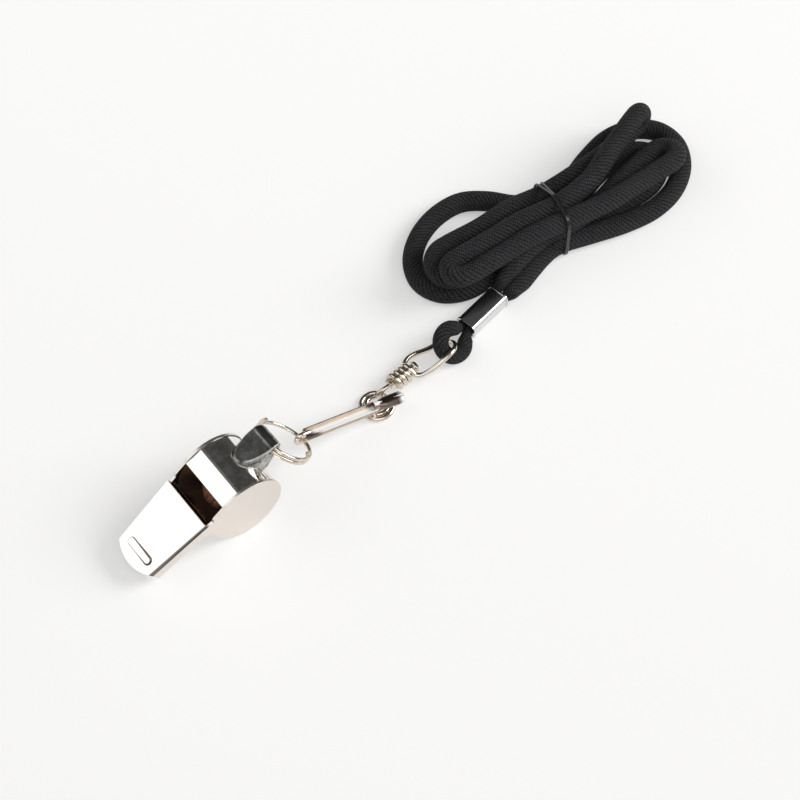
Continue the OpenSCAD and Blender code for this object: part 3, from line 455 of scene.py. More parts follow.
# ------------------------------------------------------------------ material tools
def new_material(name):
    m = bpy.data.materials.new(name)
    m.use_nodes = True
    return m, m.node_tree, m.node_tree.nodes["Principled BSDF"]


def add(tree, kind, **values):
    n = tree.nodes.new(kind)
    for k, v in values.items():
        if k in n.inputs:
            n.inputs[k].default_value = v
        else:
            setattr(n, k, v)
    return n


def object_place(tree):
    return tree.nodes.new("ShaderNodeTexCoord").outputs["Object"]


def ramp(tree, source, stops):
    n = tree.nodes.new("ShaderNodeValToRGB")
    e = n.color_ramp.elements
    e[0].position, e[0].color = stops[0][0], (*stops[0][1], 1)
    e[1].position, e[1].color = stops[-1][0], (*stops[-1][1], 1)
    for pos, colour in stops[1:-1]:
        x = e.new(pos)
        x.color = (*colour, 1)
    tree.links.new(source, n.inputs["Fac"])
    return n.outputs["Color"]


def math_node(tree, op, a, b=None, c=None):
    n = tree.nodes.new("ShaderNodeMath")
    n.operation = op
    for i, x in enumerate((a, b, c)):
        if x is None:
            continue
        if isinstance(x, (int, float)):
            n.inputs[i].default_value = x
        else:
            tree.links.new(x, n.inputs[i])
    return n.outputs[0]


def plus(tree, a, b):
    return math_node(tree, "ADD", a, b)


def minus(tree, a, b):
    return math_node(tree, "SUBTRACT", a, b)


def times(tree, a, b):
    return math_node(tree, "MULTIPLY", a, b)


def over(tree, a, b):
    """One where a is greater than b, and otherwise zero."""
    return math_node(tree, "GREATER_THAN", a, b)


def under(tree, a, b):
    """One where a is less than b, and otherwise zero."""
    return math_node(tree, "LESS_THAN", a, b)


def noise_of(tree, coords, scale, detail=3, rough=0.5):
    n = add(tree, "ShaderNodeTexNoise", Scale=scale, Detail=detail, Roughness=rough)
    tree.links.new(coords, n.inputs["Vector"])
    return n.outputs["Fac"]


def step_up(tree, source, low, high, first=0.0, last=1.0):
    """A smooth step from first to last while the source goes from low to high."""
    n = tree.nodes.new("ShaderNodeMapRange")
    n.interpolation_type = "SMOOTHSTEP"
    tree.links.new(source, n.inputs["Value"])
    for name, value in (("From Min", low), ("From Max", high), ("To Min", first), ("To Max", last)):
        n.inputs[name].default_value = value
    return n.outputs["Result"]


def split_of(tree, source):
    split = tree.nodes.new("ShaderNodeSeparateXYZ")
    tree.links.new(source, split.inputs[0])
    return [split.outputs[k] for k in "XYZ"]


def bumped(tree, shader, height, strength, depth, normal=None):
    """Give the shader's surface a relief, depth in mm, on top of another normal if there is one."""
    bump = add(tree, "ShaderNodeBump", Strength=strength, Distance=depth * MM)
    tree.links.new(height, bump.inputs["Height"])
    if normal is not None:
        tree.links.new(normal, bump.inputs["Normal"])
    tree.links.new(bump.outputs["Normal"], shader.inputs["Normal"])


FINE_SCALE = 7
GRAIN_SCALE = 2.5
GRAIN_DEPTH = 0.05
SMUDGE_GLOSS = -0.7
GLOSS_SPREAD = 0.15


def metal(name, bright, dull, rough, bevel=0.12, scale=260, smudge=0.25, grain=0.05, uneven=1.0):
    """Nickel: an even tone with faint smudges, which also change its gloss, and softened edges."""
    m, tree, sh = new_material(name)
    coords = object_place(tree)
    patches = noise_of(tree, coords, scale, 5, 0.6)
    tones = [(0.5 - smudge, dull), (0.5 + smudge, bright)]
    tree.links.new(ramp(tree, patches, tones), sh.inputs["Base Color"])
    sh.inputs["Metallic"].default_value = 1
    fine = noise_of(tree, coords, scale * FINE_SCALE, 3)
    both = plus(tree, fine, times(tree, patches, SMUDGE_GLOSS))
    gloss = math_node(tree, "MULTIPLY_ADD", both, rough * uneven, rough * (1.0 - GLOSS_SPREAD * uneven))
    tree.links.new(gloss, sh.inputs["Roughness"])
    edge = add(tree, "ShaderNodeBevel", Radius=bevel * MM)
    edge.samples = 4
    relief = noise_of(tree, coords, scale * GRAIN_SCALE, 3)
    bumped(tree, sh, relief, grain, GRAIN_DEPTH, edge.outputs["Normal"])
    return m


def mixed_in(m, share, colour, metallic=None, roughness=None):
    """Put another colour and finish over a metal where share is one."""
    tree = m.node_tree
    sh = tree.nodes["Principled BSDF"]
    old = sh.inputs["Base Color"].links[0].from_socket
    n = tree.nodes.new("ShaderNodeMix")
    n.data_type = "RGBA"
    tree.links.new(share, n.inputs[0])
    tree.links.new(old, n.inputs[6])
    n.inputs[7].default_value = (*colour, 1)
    tree.links.new(n.outputs[2], sh.inputs["Base Color"])
    for name, value in (("Metallic", metallic), ("Roughness", roughness)):
        if value is None:
            continue
        socket = sh.inputs[name]
        before = socket.links[0].from_socket if socket.links else socket.default_value
        rest = times(tree, minus(tree, 1.0, share), before)
        tree.links.new(math_node(tree, "MULTIPLY_ADD", share, value, rest), socket)


def place_in(tree, origin=(0, 0, 0), turn=0.0, lean=0.0):
    """Millimetres from a point along X, Y and Z, after a turn about Z or a lean about Y."""
    dx, dy, dz = (math_node(tree, "MULTIPLY_ADD", c, 1 / MM, -float(o + s))
                  for c, o, s in zip(split_of(tree, object_place(tree)), origin, SHIFT))
    along = plus(tree, times(tree, dx, cosd(turn)), times(tree, dy, sind(turn)))
    aside = minus(tree, times(tree, dy, cosd(turn)), times(tree, dx, sind(turn)))
    if not lean:
        return along, aside, dz
    up = minus(tree, times(tree, dz, cosd(lean)), times(tree, along, sind(lean)))
    along = plus(tree, times(tree, along, cosd(lean)), times(tree, dz, sind(lean)))
    return along, aside, up


def facing(tree, way):
    """How far the surface faces a direction."""
    n = add(tree, "ShaderNodeVectorMath", operation="DOT_PRODUCT")
    tree.links.new(tree.nodes.new("ShaderNodeNewGeometry").outputs["True Normal"], n.inputs[0])
    n.inputs[1].default_value = tuple(float(c) for c in unit(v3(*way)))
    return n.outputs["Value"]


def edge_share(tree, radius):
    """One on sharp edges, within about the radius, and zero on the faces between them."""
    soft = add(tree, "ShaderNodeBevel", Radius=radius * MM)
    soft.samples = 8
    n = add(tree, "ShaderNodeVectorMath", operation="DOT_PRODUCT")
    tree.links.new(soft.outputs["Normal"], n.inputs[0])
    tree.links.new(tree.nodes.new("ShaderNodeNewGeometry").outputs["True Normal"], n.inputs[1])
    return step_up(tree, n.outputs["Value"], 0.96, 0.89)


# ------------------------------------------------------------------ materials
# Painted shade: a brown tone on the flanges and just below them, for the dark line where top plate and side
# plates meet
FLANGE_SHADE_BROWN = (0.135, 0.105, 0.085)
HEM_MORE = 0.8
HEM_SOFT = 0.06
STEP_DEPTH = 0.3
LIP_FLAT_WAY = (-0.402, 0, 0.916)
RIDGE_CREASE_OUT = 0.04


def plate_metal():
    """Satin nickel, with a brown hem of painted shade below the top plate and painted shade in the step
    beside the barrel.
    """
    m = metal("plate_metal", bright=(0.82, 0.765, 0.71), dull=(0.79, 0.735, 0.68), rough=0.3, bevel=0.08,
              scale=60, smudge=0.4, grain=0.0, uneven=0.1)
    tree = m.node_tree
    along, aside, up = place_in(tree, (0, 0, DISC_R), 0, LEAN)
    hem = step_up(tree, along, -WINDOW_FRONT, -MOUTH_REACH, FLANGE_H, FLANGE_H + HEM_MORE)
    below = minus(tree, minus(tree, DISC_R, hem), up)
    # painted shade: a brown band on the side plates just below the top plate's flange
    dark = times(tree, under(tree, along, -WINDOW_FRONT), step_up(tree, below, HEM_SOFT, -HEM_SOFT))
    mixed_in(m, dark, FLANGE_SHADE_BROWN, metallic=0.8)
    r2 = plus(tree, times(tree, along, along), times(tree, up, up))
    # painted shade: near black on the inward faces of the step beside the barrel
    inward = under(tree, times(tree, facing(tree, (0, 1, 0)), aside), -0.5)
    step = times(tree, inward, over(tree, r2, (BAND_R - STEP_DEPTH) ** 2))
    mixed_in(m, step, (0.10, 0.095, 0.09), metallic=0.9)
    return m


def barrel_metal():
    """Nickel outside: behind the lip's flat a mottle, partly stained and partly painted dark reflection;
    painted shade along the crease; painted dark brown shade inside the chamber.
    """
    m = metal("barrel_metal", bright=(0.94, 0.92, 0.89), dull=(0.84, 0.82, 0.79), rough=0.1, bevel=0.06,
              scale=150, smudge=0.3, grain=0.02)
    tree = m.node_tree
    dx, _, dz = place_in(tree, (0, 0, DISC_R))
    r2 = plus(tree, times(tree, dx, dx), times(tree, dz, dz))
    inside = under(tree, math_node(tree, "SQRT", r2), BAND_R - BAND_T + 0.1)
    round_back = step_up(tree, facing(tree, LIP_FLAT_WAY), 0.986, 0.98)
    # partly a stained mottle and partly painted dark reflection, darker where the barrel faces the way the
    # lip's flat does
    stain_and_dark_reflection = step_up(tree, noise_of(tree, object_place(tree), 230, 4, 0.6), 0.42, 0.6)
    stain_and_dark_reflection = times(tree, stain_and_dark_reflection, step_up(tree, facing(tree, LIP_FLAT_WAY), 0.55, 0.8))
    mixed_in(m, times(tree, round_back, stain_and_dark_reflection), (0.5, 0.49, 0.45), metallic=1.0, roughness=0.2)
    # painted shade: a brownish band along the crease beside the lip's flat
    crease = times(tree, step_up(tree, facing(tree, LIP_FLAT_WAY), 0.955, 0.98), round_back)
    crease_shade = times(tree, crease, over(tree, dz, 0.0))
    mixed_in(m, times(tree, crease_shade, 0.5), (0.5, 0.43, 0.36), metallic=0.55)
    # painted shade: dark brown inside the chamber, tinted like the cork it reflects
    mixed_in(m, inside, (0.13, 0.068, 0.044), metallic=0.1, roughness=0.65)
    return m


def top_metal():
    """The top plate: bright above, with painted shade in brown on its flanges, a painted brown reflection on
    its rear edge, and painted shade in the crease round its ridge.
    """
    m = metal("top_metal", bright=(0.92, 0.90, 0.87), dull=(0.86, 0.84, 0.81), rough=0.1, bevel=0.05,
              scale=200, smudge=0.3, grain=0.01)
    tree = m.node_tree
    along, aside, up = place_in(tree, (0, 0, DISC_R), 0, LEAN)
    # painted shade: dark in the crease round the ridge, its width varying along it
    from_mid = math_node(tree, "ABSOLUTE", aside)
    bend = math_node(tree, "MAXIMUM", minus(tree, from_mid, (RIDGE_L - RIDGE_W) / 2), 0.0)
    across = minus(tree, along, RIDGE_BACK - MOUTH_REACH)
    r2 = plus(tree, times(tree, across, across), times(tree, bend, bend))
    off = minus(tree, math_node(tree, "SQRT", r2), RIDGE_W / 2 + RIDGE_CREASE_OUT)
    thick = step_up(tree, minus(tree, across, aside), -2.5, 4.5, 0.13, 0.3)
    crease = step_up(tree, math_node(tree, "DIVIDE", math_node(tree, "ABSOLUTE", off), thick), 1.0, 0.6)
    mixed_in(m, crease, (0.10, 0.075, 0.06), metallic=0.5)
    # painted shade: brown on the flanges' sides
    side = over(tree, math_node(tree, "ABSOLUTE", facing(tree, (0, 1, 0))), 0.75)
    mixed_in(m, side, FLANGE_SHADE_BROWN, metallic=0.8)
    # painted reflection: the rear edge, which faces into the chamber, coloured brown like the chamber it
    # reflects
    rear = over(tree, facing(tree, (cosd(LEAN), 0, sind(LEAN))), 0.75)
    mixed_in(m, rear, (0.45, 0.3, 0.2), metallic=0.1, roughness=0.5)
    return m


def bail_painted_light():
    """A polished strap painted dark as a painted reflection of the dark room, with painted highlights on its
    rims.
    """
    # painted dark reflection: the strap's dark tones
    m = metal("bail_metal", bright=(0.52, 0.515, 0.49), dull=(0.15, 0.15, 0.145), rough=0.16, bevel=0.7,
              scale=420, smudge=0.17, grain=0.15)
    # painted highlights: cream on the rims
    mixed_in(m, edge_share(m.node_tree, 0.6), (0.95, 0.9, 0.82), metallic=0.1, roughness=0.3)
    return m


def gate_metal():
    """A satin trough painted white as a painted reflection, with painted shade on its far side, between
    polished walls, and painted shade towards its open end at the nose.
    """
    m = metal("gate_metal", bright=(0.58, 0.48, 0.40), dull=(0.40, 0.32, 0.26), rough=0.14, bevel=0.1,
              scale=320, smudge=0.3, grain=0.02)
    tree = m.node_tree
    along, aside, _ = place_in(tree, HINGE, -HOOK_TURN)
    # painted reflection: the trough's upward faces white and not metallic, for the bright light they reflect
    trough = over(tree, facing(tree, (0.2, 0, 1)), 0.85)
    mixed_in(m, trough, (1.0, 0.99, 0.97), metallic=0.0, roughness=0.35)
    # painted shade: the trough's far side darker, for a hollow look
    far_side_shade = times(tree, trough, step_up(tree, aside, 0.5, 0.85))
    mixed_in(m, far_side_shade, (0.36, 0.32, 0.28), metallic=0.5, roughness=0.3)
    # painted shade: dark on the walls towards the trough's open end at the nose
    slanted = math_node(tree, "MULTIPLY_ADD", aside, 1.2, along)
    nose_end = step_up(tree, slanted, 3.0 - SHANK_L, 5.6 - SHANK_L, 1, 0)
    nose_end_shade = times(tree, nose_end, over(tree, facing(tree, (0, -1, 1.2)), 0.3))
    mixed_in(m, nose_end_shade, (0.10, 0.075, 0.062), metallic=0.6, roughness=0.3)
    return m


def thumb_metal():
    """The thumb bar: dark brown on its length, partly browned metal and partly painted dark reflection, with
    a painted highlight on its round end.
    """
    # partly browned metal and partly painted dark reflection: the dark brown tones
    m = metal("thumb_metal", bright=(0.30, 0.24, 0.21), dull=(0.13, 0.095, 0.08), rough=0.2, bevel=0.05,
              scale=420, smudge=0.25, grain=0.05)
    tree = m.node_tree
    along, _, _ = place_in(tree, THUMB_START, THUMB_WAY)
    # painted highlight: pale on the domed end
    dome_highlight = step_up(tree, along, THUMB_L - 1.0, THUMB_L + 0.2)
    mixed_in(m, dome_highlight, (0.86, 0.82, 0.77), metallic=0.6, roughness=0.3)
    return m


def cork_material():
    m, tree, sh = new_material("cork")
    grain = noise_of(tree, object_place(tree), 900, 6, 0.65)
    tones = [(0.32, (0.10, 0.045, 0.02)), (0.5, (0.36, 0.16, 0.085)), (0.7, (0.56, 0.27, 0.16))]
    tree.links.new(ramp(tree, grain, tones), sh.inputs["Base Color"])
    sh.inputs["Roughness"].default_value = 0.8
    bumped(tree, sh, grain, 0.6, 0.25)
    return m


# The cord's sleeve: ribs round it, the length in mm in which they shift by one, and how far they wander
RIBS = 10
RIB_RISE = 1.15
RIB_WANDER = 0.9
RIB_DEPTH = 0.42
STITCHES_PER_RIB = 2
STITCH_RISE = 2.2


def cord_material():
    """A knitted sleeve: slanting ribs that wind round the cord, each made of small stitches, with painted
    shade in their grooves and painted light on their crests.
    """
    m, tree, sh = new_material("cord")
    across, run, _ = split_of(tree, tree.nodes.new("ShaderNodeUVMap").outputs["UV"])
    coords = object_place(tree)
    wander = noise_of(tree, coords, 700, 2)
    along = plus(tree, math_node(tree, "DIVIDE", run, RIB_RISE), times(tree, wander, RIB_WANDER))
    rib = math_node(tree, "FRACT", math_node(tree, "MULTIPLY_ADD", across, -RIBS, along))
    stitch = math_node(tree, "FRACT", math_node(tree, "MULTIPLY_ADD", across, STITCHES_PER_RIB * RIBS,
                                                times(tree, along, STITCH_RISE)))
    rib_h = math_node(tree, "POWER", math_node(tree, "SINE", times(tree, rib, math.pi)), 0.7)
    stitch_h = math_node(tree, "SINE", times(tree, stitch, math.pi))
    height = math_node(tree, "MULTIPLY_ADD", stitch_h, 0.5, times(tree, rib_h, 0.5))
    fibre = noise_of(tree, coords, 5200, 3, 0.6)
    worn = noise_of(tree, coords, 120, 3)
    # painted shade and light: grooves between ribs and stitches near black, crests lighter, with random fibre
    # and wear tone
    level = plus(tree, times(tree, height, 0.7), times(tree, plus(tree, fibre, worn), 0.22))
    tones = [(0.3, (0.0004, 0.0004, 0.0005)), (0.56, (0.0034, 0.0035, 0.004)), (0.82, (0.043, 0.0435, 0.047))]
    tree.links.new(ramp(tree, level, tones), sh.inputs["Base Color"])
    sh.inputs["Roughness"].default_value = 0.75
    sh.inputs["Specular IOR Level"].default_value = 0.2
    sh.inputs["Sheen Weight"].default_value = 0.015
    sh.inputs["Sheen Roughness"].default_value = 0.4
    bumped(tree, sh, plus(tree, height, times(tree, fibre, 0.35)), 1.0, RIB_DEPTH)
    return m


def tie_material():
    m, tree, sh = new_material("tie")
    n = noise_of(tree, object_place(tree), 1200, 3)
    tones = [(0.3, (0.003, 0.003, 0.0035)), (0.8, (0.01, 0.01, 0.011))]
    tree.links.new(ramp(tree, n, tones), sh.inputs["Base Color"])
    tree.links.new(math_node(tree, "MULTIPLY_ADD", n, 0.1, 0.06), sh.inputs["Roughness"])
    return m


plate = plate_metal()
top = top_metal()
bail_metal = bail_painted_light()
wire = metal("wire_metal", bright=(0.84, 0.78, 0.70), dull=(0.54, 0.46, 0.37), rough=0.09, bevel=0.05,
             scale=300, smudge=0.25, grain=0.02)
gate = gate_metal()
thumb = thumb_metal()
ferrule_metal = metal("ferrule_metal", bright=(0.80, 0.80, 0.81), dull=(0.62, 0.62, 0.63), rough=0.12,
                      bevel=0.12, scale=300, smudge=0.35, grain=0.02)
skin = barrel_metal()
cork = cork_material()
cord = cord_material()
tie = tie_material()
slit_metal = metal("slit_metal", bright=(0.36, 0.25, 0.17), dull=(0.22, 0.14, 0.09), rough=0.2)

FINISH = {
    "left_side_plate": plate, "right_side_plate": plate, "barrel_band": skin, "mouthpiece_top": top,
    "mouthpiece_bottom": plate, "windway_floor": slit_metal, "cork_pea": cork, "bail": bail_metal,
    "split_ring": wire, "hook_wire": wire, "swivel_stem": wire, "hinge_boss": wire, "hinge_pin": wire,
    "gate_lever": gate, "eye_loop": wire, "cord_eye": cord, "ferrule": ferrule_metal, "cord_tail": cord,
    "cord_hank": cord, "hank_tie": tie}
for name, material in FINISH.items():
    o = nodes[name]
    o.data.materials.clear()
    o.data.materials.append(material)


# ------------------------------------------------------------------ the lanyard
PUFF = 1.18
HANK_STEP = 0.5
HANK_SIDES = 40
hank, hank_line = make_tube("hank", HANK_PATH, [r * PUFF for r in HANK_RADII], HANK_STEP, HANK_SIDES, Z,
                            cord, "lanyard", "cord", "cord_hank")

EYE_PUFF = 1.04
EYE_STEP = 0.4
EYE_SIDES = 36
EYE_OPEN = 62
EYE_RING_STEPS = 18
LEG_PLACE_SHARE = 0.52
LEG_PULL_SHARE = 2
LEG_SHARES = (0, 0.3, 0.65)
LEG_SWELL_SHARE = 1.2


def leg_ring(start, end, way, t):
    """A ring of a leg from the ferrule at start to the eye at end, at the share t of the way."""
    return (curve(start, -CRIMPED_D * LEG_PULL_SHARE * EYE_X, end, -CORD_EYE_R * way, t),
            mix(CRIMPED_D / 2, EYE_CORD_R, ease(t * LEG_SWELL_SHARE)))


def on_cord_eye(a):
    return EYE_C + CORD_EYE_R * (cosd(a) * EYE_X + sind(a) * EYE_Y)


def eye_rings():
    leg = CRIMPED_D * LEG_PLACE_SHARE * EYE_SIDE
    ways = [sind(EYE_OPEN) * EYE_X + s * cosd(EYE_OPEN) * EYE_Y for s in (-1, 1)]
    rings = [leg_ring(FERRULE_START - leg, on_cord_eye(-EYE_OPEN), ways[1], t) for t in LEG_SHARES]
    for i in range(EYE_RING_STEPS + 1):
        rings.append((on_cord_eye(-EYE_OPEN - (360 - 2 * EYE_OPEN) * i / EYE_RING_STEPS), EYE_CORD_R))
    rings += [leg_ring(FERRULE_START + leg, on_cord_eye(EYE_OPEN), ways[0], t) for t in LEG_SHARES[::-1]]
    return rings


rings = eye_rings()
eye, _ = make_tube("cord_eye_braid", [p for p, r in rings], [r * EYE_PUFF for p, r in rings], EYE_STEP,
                   EYE_SIDES, Z, cord, "lanyard", "cord", "cord_eye")

FIBRES = 46
GOLDEN_ANGLE = 137.5
BUNDLE_R = 0.78
BUNDLE_DROP = 0.85
BUNDLE_BACK = 2.5
FIBRE_L = 2.6
FIBRE_L_MORE = 0.9
FIBRE_FALL = 0.45
FIBRE_SPREAD = 0.75
FIBRE_TURN = 25
FIBRE_RADII = (0.11, 0.1, 0.05)
FIBRE_STEP = 0.6
FIBRE_SIDES = 6


def make_tail():
    """The frayed cut end: a bundle of loose fibres that fan out of the ferrule."""
    root = FERRULE_END + v3(0, 0, FERRULE_H / 2 - FERRULE_T - BUNDLE_DROP) - CRIMPED_D / 2 * EYE_SIDE
    verts, faces, uvs = [], [], []
    for k in range(FIBRES):
        a = k * GOLDEN_ANGLE
        share = math.sqrt((k + 0.5) / FIBRES)
        r = BUNDLE_R * share
        base = root - BUNDLE_BACK * EYE_X + r * (cosd(a) * EYE_SIDE + sind(a) * Z)
        reach = FIBRE_L + FIBRE_L_MORE * sind(k * 71)
        fan = a + FIBRE_TURN * sind(k * 53)
        tip = (root + reach * EYE_X - v3(0, reach * FIBRE_FALL, 0)
               + (r + share * FIBRE_SPREAD) * (cosd(fan) * EYE_SIDE + sind(fan) * Z * 0.8))
        middle = mix(base, tip, 0.62) + 0.15 * v3(sind(k * 37), cosd(k * 91), sind(k * 17))
        path, rad = smooth_path([base, middle, tip], FIBRE_RADII, FIBRE_STEP)
        v, f, u = sweep(path, rad, FIBRE_SIDES, Z)
        at = len(verts)
        verts += v
        faces += [tuple(at + i for i in face) for face in f]
        uvs += u
    o = object_of("cord_tail_fray", verts, faces, cord, "lanyard", uvs)
    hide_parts("cord_tail")
    return o


tail = make_tail()


def convex_outline(points):
    """The points on the outside of a flat set, in order round it."""
    pts = sorted(map(tuple, points))
    rows = []
    for order in (pts, pts[::-1]):
        chain = []
        for p in order:
            while len(chain) > 1 and ((chain[-1][0] - chain[-2][0]) * (p[1] - chain[-2][1])
                                      - (chain[-1][1] - chain[-2][1]) * (p[0] - chain[-2][0])) <= 0:
                chain.pop()
            chain.append(p)
        rows += chain[:-1]
    return rows


TIE_R = 0.33
TIE_OUT = 0.3
TIE_LOWEST = 0.34
TIE_TURN_APART = 0.2
TIE_END_APART = 0.75
TIE_STEP = 0.5
TIE_SIDES = 14


def make_tie():
    """A thin glossy band, twice round the hank's waist, with its turns apart at one end."""
    reach = CORD_R * PUFF + TIE_OUT
    around = [(waist_point(i)[1] + reach * cosd(a), waist_point(i)[2] + reach * sind(a))
              for i in range(len(WAIST_SHARES)) for a in range(0, 360, 10)]
    loop = convex_outline(around)
    start = min(range(len(loop)), key=lambda i: loop[i][1] + 0.02 * abs(loop[i][0]))
    loop = loop[start:] + loop[:start]
    far = max(y for y, z in loop)
    points = []
    for k in range(2 * len(loop) + 1):
        y, z = loop[k % len(loop)]
        turn = ease((k / len(loop) - 0.9) / 0.2) * 2 - 1
        along = turn * (TIE_TURN_APART + TIE_END_APART * ease((y - 0.45 * far) / (0.6 * far)))
        points.append(HANK_BASE + turned(v3(along, y, max(z, TIE_LOWEST))))
    path, rad = smooth_path(points, [TIE_R] * len(points), TIE_STEP)
    verts, faces, uvs = sweep(path, rad, TIE_SIDES, v3(1, 0, 0))
    o = object_of("tie_band", verts, faces, tie, "lanyard", uvs)
    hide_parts("hank_tie")
    return o


band = make_tie()


# ------------------------------------------------------------------ wires
WIRE_STEP = 0.4
EYE_LOOP_STEP = 0.35
WIRE_SIDES = 24
RING_STEPS = 90
ring_runs = [RING_RUN * i / RING_STEPS for i in range(RING_STEPS + 1)]
make_tube("split_ring_wire", [ring_point(a) for a in ring_runs], [RING_WIRE_R] * len(ring_runs), WIRE_STEP,
          WIRE_SIDES, RING_UP, wire, "ring", "wire_metal", "split_ring")

HALF_STEP = 22.5
LOOP_STEPS = 40
TIP_FALL_SHARE = 0.04
BEND_PLACE_SHARES = (0.5, 0.35)
BEND_RISE_SHARE = 1.4
BEND_PULL_SHARES = (2, 1, 0.7, 0.8)
NECK_CLIMB_SHARE = 1.3


def hook_path():
    tip = nose_point(90) + TIP_L * SHANK_X - TIP_FALL_SHARE * TIP_L * SHANK_Z
    bend_from = v3(LOOP_C[0] + LOOP_R * BEND_PLACE_SHARES[0], LOOP_C[1] - LOOP_R * BEND_PLACE_SHARES[1],
                   LOOP_Z + WIRE_R * BEND_RISE_SHARE)
    loop_from, loop_to = loop_point(0), loop_point(1)
    exit_way = v3(sind(LOOP_OUT), -cosd(LOOP_OUT), 0)
    from_hinge, to_bend, from_bend, to_loop = (LOOP_R * share for share in BEND_PULL_SHARES)
    into = to_loop * v3(sind(LOOP_IN), -cosd(LOOP_IN), 0)
    path = [tip] + [nose_point(a) for a in np.arange(90, 271, HALF_STEP)]
    path += [mix(nose_point(270), HINGE, t) for t in (0.3, 0.65, 1)]
    path += [curve(HINGE, from_hinge * SHANK_X, bend_from, to_bend * HOOK_X, t) for t in (0.25, 0.5, 0.75, 1)]
    path += [curve(bend_from, from_bend * HOOK_X, loop_from, into, t) for t in (0.3, 0.55, 0.8)]
    path += [loop_point(i / LOOP_STEPS) for i in range(LOOP_STEPS + 1)]
    neck_way = LOOP_R * exit_way + v3(0, 0, LOOP_R * NECK_CLIMB_SHARE)
    path += [curve(loop_to, neck_way, STEM_START, LOOP_R * STEM_X, t)
             for t in (0.15, 0.32, 0.49, 0.66, 0.83, 1)]
    return path


points = hook_path()
make_tube("hook_wire_bent", points, [WIRE_R] * len(points), WIRE_STEP, WIRE_SIDES, SHANK_Z, wire, "hook",
          "wire_metal", "hook_wire")

LEAVE_SHARE = 1.2
BOW_SHARE = 1.25
BOW_ANGLE = 68
BACK_SHARE = 0.9
TOUCH = 0.02
STRAND_STEPS = 10
BOW_STEPS = 9


def on_eye_loop(a):
    return LOOP_FAR_C + EYE_LOOP_A * cosd(a) * EYE_LOOP_X + EYE_LOOP_B * sind(a) * EYE_LOOP_Y


def eye_loop_path():
    start = wrap_point(WRAPS * 360)
    leave_way = v3(0, 0, -cosd(WRAPS * 360)) + sind(WRAPS * 360) * STEM_Y
    back = wrap_point(math.floor(WRAPS) * 360) + (EYE_WIRE_R + TOUCH) * STEM_X
    keep = EYE_LOOP_L * LEAVE_SHARE
    bow_way = EYE_LOOP_L * BOW_SHARE * unit(on_eye_loop(90 - BOW_ANGLE) - LOOP_FAR_C)
    back_way = -keep * unit(STEM_X + BACK_SHARE * STEM_Y)
    path = [wrap_point(-HALF_STEP) - EYE_WIRE_R / 2 * STEM_X]
    path += [wrap_point(HALF_STEP * i) for i in range(int(360 / HALF_STEP * WRAPS) + 1)]
    path += [curve(start, -keep * leave_way, on_eye_loop(-BOW_ANGLE), bow_way, t / STRAND_STEPS)
             for t in range(1, STRAND_STEPS)]
    path += [on_eye_loop((BOW_ANGLE + 90) * i / BOW_STEPS - BOW_ANGLE) for i in range(BOW_STEPS + 1)]
    path += [curve(on_eye_loop(90), -EYE_LOOP_L * EYE_LOOP_X, back, back_way, t / STRAND_STEPS)
             for t in range(1, STRAND_STEPS)]
    return path + [back]


points = eye_loop_path()
make_tube("eye_loop_wire", points, [EYE_WIRE_R] * len(points), EYE_LOOP_STEP, WIRE_SIDES, STEM_Y, wire,
          "swivel", "wire_metal", "eye_loop")

THUMB_SKIN = 0.02
THUMB_WIDER = 0.62
THUMB_INSET = 0.25
THUMB_FLARE_FROM = 0.8
THUMB_FLARE_L = 2.4
THUMB_SIDES = 36
THUMB_RUN_RINGS = 12


def make_thumb():
    """The bar's grip: as high as the solid bar and wider, with a domed end."""
    way = cosd(THUMB_FALL) * v3(cosd(THUMB_WAY), sind(THUMB_WAY), 0) - v3(0, 0, sind(THUMB_FALL))
    side = np.cross(Z, way)
    up = np.cross(way, side)
    rings = [(THUMB_INSET + THUMB_R * (1 - sind(a)), cosd(a)) for a in (84, 66, 48, 28, 12)]
    rings += [(THUMB_L * k / THUMB_RUN_RINGS + 0.3, 1.0) for k in range(4, THUMB_RUN_RINGS)]
    rings += [(THUMB_L + THUMB_R * sind(a), cosd(a)) for a in (0, 15, 30, 45, 60, 73, 84)]
    high = THUMB_R + THUMB_SKIN
    verts = []
    for along, share in rings:
        wide = high + ease((along - THUMB_FLARE_FROM) / THUMB_FLARE_L) * THUMB_WIDER
        for k in range(THUMB_SIDES):
            a = 360 * k / THUMB_SIDES
            verts.append(THUMB_START + along * way + share * (wide * cosd(a) * side + high * sind(a) * up))
    faces = tube_faces(len(rings), THUMB_SIDES) + end_faces(len(rings), THUMB_SIDES)
    return object_of("thumb_grip", verts, faces, thumb, "gate")


make_thumb()


# ------------------------------------------------------------------ the cork pea
PEA_SHARE = 0.985
DENT_SCALE = 3.1
DENT_SHARE = 0.5
PORE_SCALE = 7.3
PORE_SHARE = 0.6
DENT_DEPTH = 0.05


def make_pea():
    low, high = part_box("cork_pea")
    centre = (low + high) / 2
    r = (high[0] - low[0]) / 2 * PEA_SHARE
    mesh = bpy.data.meshes.new("pea_cork")
    bm = bmesh.new()
    bmesh.ops.create_icosphere(bm, subdivisions=6, radius=1)
    for v in bm.verts:
        n = v.co.normalized()
        dents = noise.fractal(n * DENT_SCALE, 1, 2.1, 4) * DENT_SHARE
        pores = abs(noise.noise(n * PORE_SCALE)) * PORE_SHARE
        v.co = centre + n * r * (1 - DENT_DEPTH * max(0, dents + pores))
    bm.to_mesh(mesh)
    bm.free()
    o = piece_of("pea_cork", mesh, cork, "pea")
    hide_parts("cork_pea")


make_pea()


# ------------------------------------------------------------------ floor and light
FLOOR_HALF = 1.6
FLOOR_DROP = 0.0001
FLOOR_GLOW = 0.38
FLOOR_FRONT = (0.585, 0.58, 0.57)
FLOOR_REAR = (0.695, 0.69, 0.68)
FLOOR_FADE = 1.25
LIGHT_AIM = (20, 0, 5)
ROOM_GLOW = 0.075
WALL_GLOW = 0.55
SCREEN_GLOW = 1.15


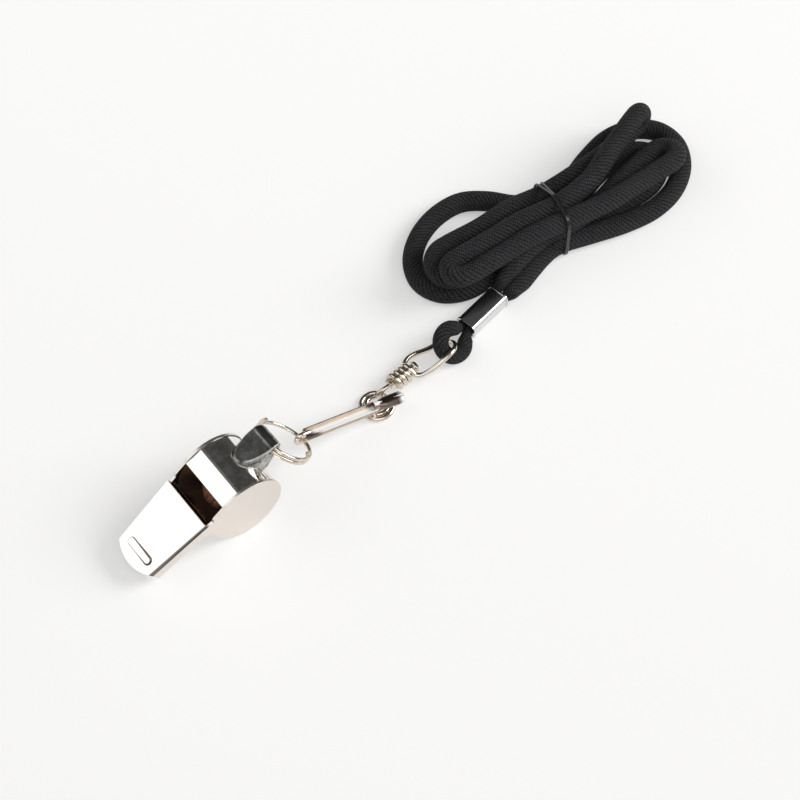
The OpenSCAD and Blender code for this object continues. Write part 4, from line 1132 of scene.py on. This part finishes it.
def make_floor():
    mesh = bpy.data.meshes.new("floor")
    s = FLOOR_HALF
    mesh.from_pydata([(-s, -s, 0), (s, -s, 0), (s, s, 0), (-s, s, 0)], [], [(0, 1, 2, 3)])
    floor = bpy.data.objects.new("floor", mesh)
    bpy.context.scene.collection.objects.link(floor)
    floor.location.z = -FLOOR_DROP
    m, tree, sh = new_material("floor_paper")
    # painted shading: the paper's colour runs darker towards the front and lighter towards the rear
    y = split_of(tree, object_place(tree))[1]
    depth = math_node(tree, "MULTIPLY_ADD", y, FLOOR_FADE, 0.5)
    tree.links.new(ramp(tree, depth, [(0.2, FLOOR_FRONT), (0.8, FLOOR_REAR)]), sh.inputs["Base Color"])
    sh.inputs["Roughness"].default_value = 0.9
    sh.inputs["Specular IOR Level"].default_value = 0.1
    rays = tree.nodes.new("ShaderNodeLightPath")
    seen = plus(tree, rays.outputs["Is Camera Ray"], rays.outputs["Is Glossy Ray"])
    seen = plus(tree, seen, rays.outputs["Is Transmission Ray"])
    glow = add(tree, "ShaderNodeEmission", Color=(1, 1, 1, 1))
    tree.links.new(times(tree, seen, FLOOR_GLOW), glow.inputs["Strength"])
    both = tree.nodes.new("ShaderNodeAddShader")
    tree.links.new(sh.outputs[0], both.inputs[0])
    tree.links.new(glow.outputs[0], both.inputs[1])
    tree.links.new(both.outputs[0], tree.nodes["Material Output"].inputs["Surface"])
    mesh.materials.append(m)


def make_light(name, place, size, watts):
    data = bpy.data.lights.new(name, "AREA")
    data.shape = "DISK"
    data.size = size
    data.energy = watts
    o = bpy.data.objects.new(name, data)
    o.location = Vector(place)
    o.rotation_mode = "QUATERNION"
    o.rotation_quaternion = (Vector(LIGHT_AIM) * MM - o.location).to_track_quat("-Z", "Y")
    bpy.context.scene.collection.objects.link(o)


def make_world():
    """A dim room: a white screen at the upper left rear, a dark ceiling behind and light walls in front."""
    world = bpy.data.worlds.new("room")
    world.use_nodes = True
    tree = world.node_tree
    back = tree.nodes["Background"]
    x, y, z = split_of(tree, tree.nodes.new("ShaderNodeTexCoord").outputs["Generated"])
    front = step_up(tree, y, -0.55, 0.1, WALL_GLOW, ROOM_GLOW)
    screen = times(tree, step_up(tree, x, -0.1, -0.28), step_up(tree, z, 0.3, 0.42))
    screen = times(tree, screen, step_up(tree, y, 0.05, 0.2))
    tree.links.new(math_node(tree, "MULTIPLY_ADD", screen, SCREEN_GLOW, front), back.inputs["Strength"])
    back.inputs["Color"].default_value = (1, 1, 1, 1)
    bpy.context.scene.world = world


make_floor()
make_light("key", place=(1.75, -0.98, 1.3), size=1.5, watts=38.0)
make_light("front", place=(-0.5, -1.0, 2.1), size=2.0, watts=11.5)
make_world()
bpy.context.scene.view_settings.view_transform = "Standard"
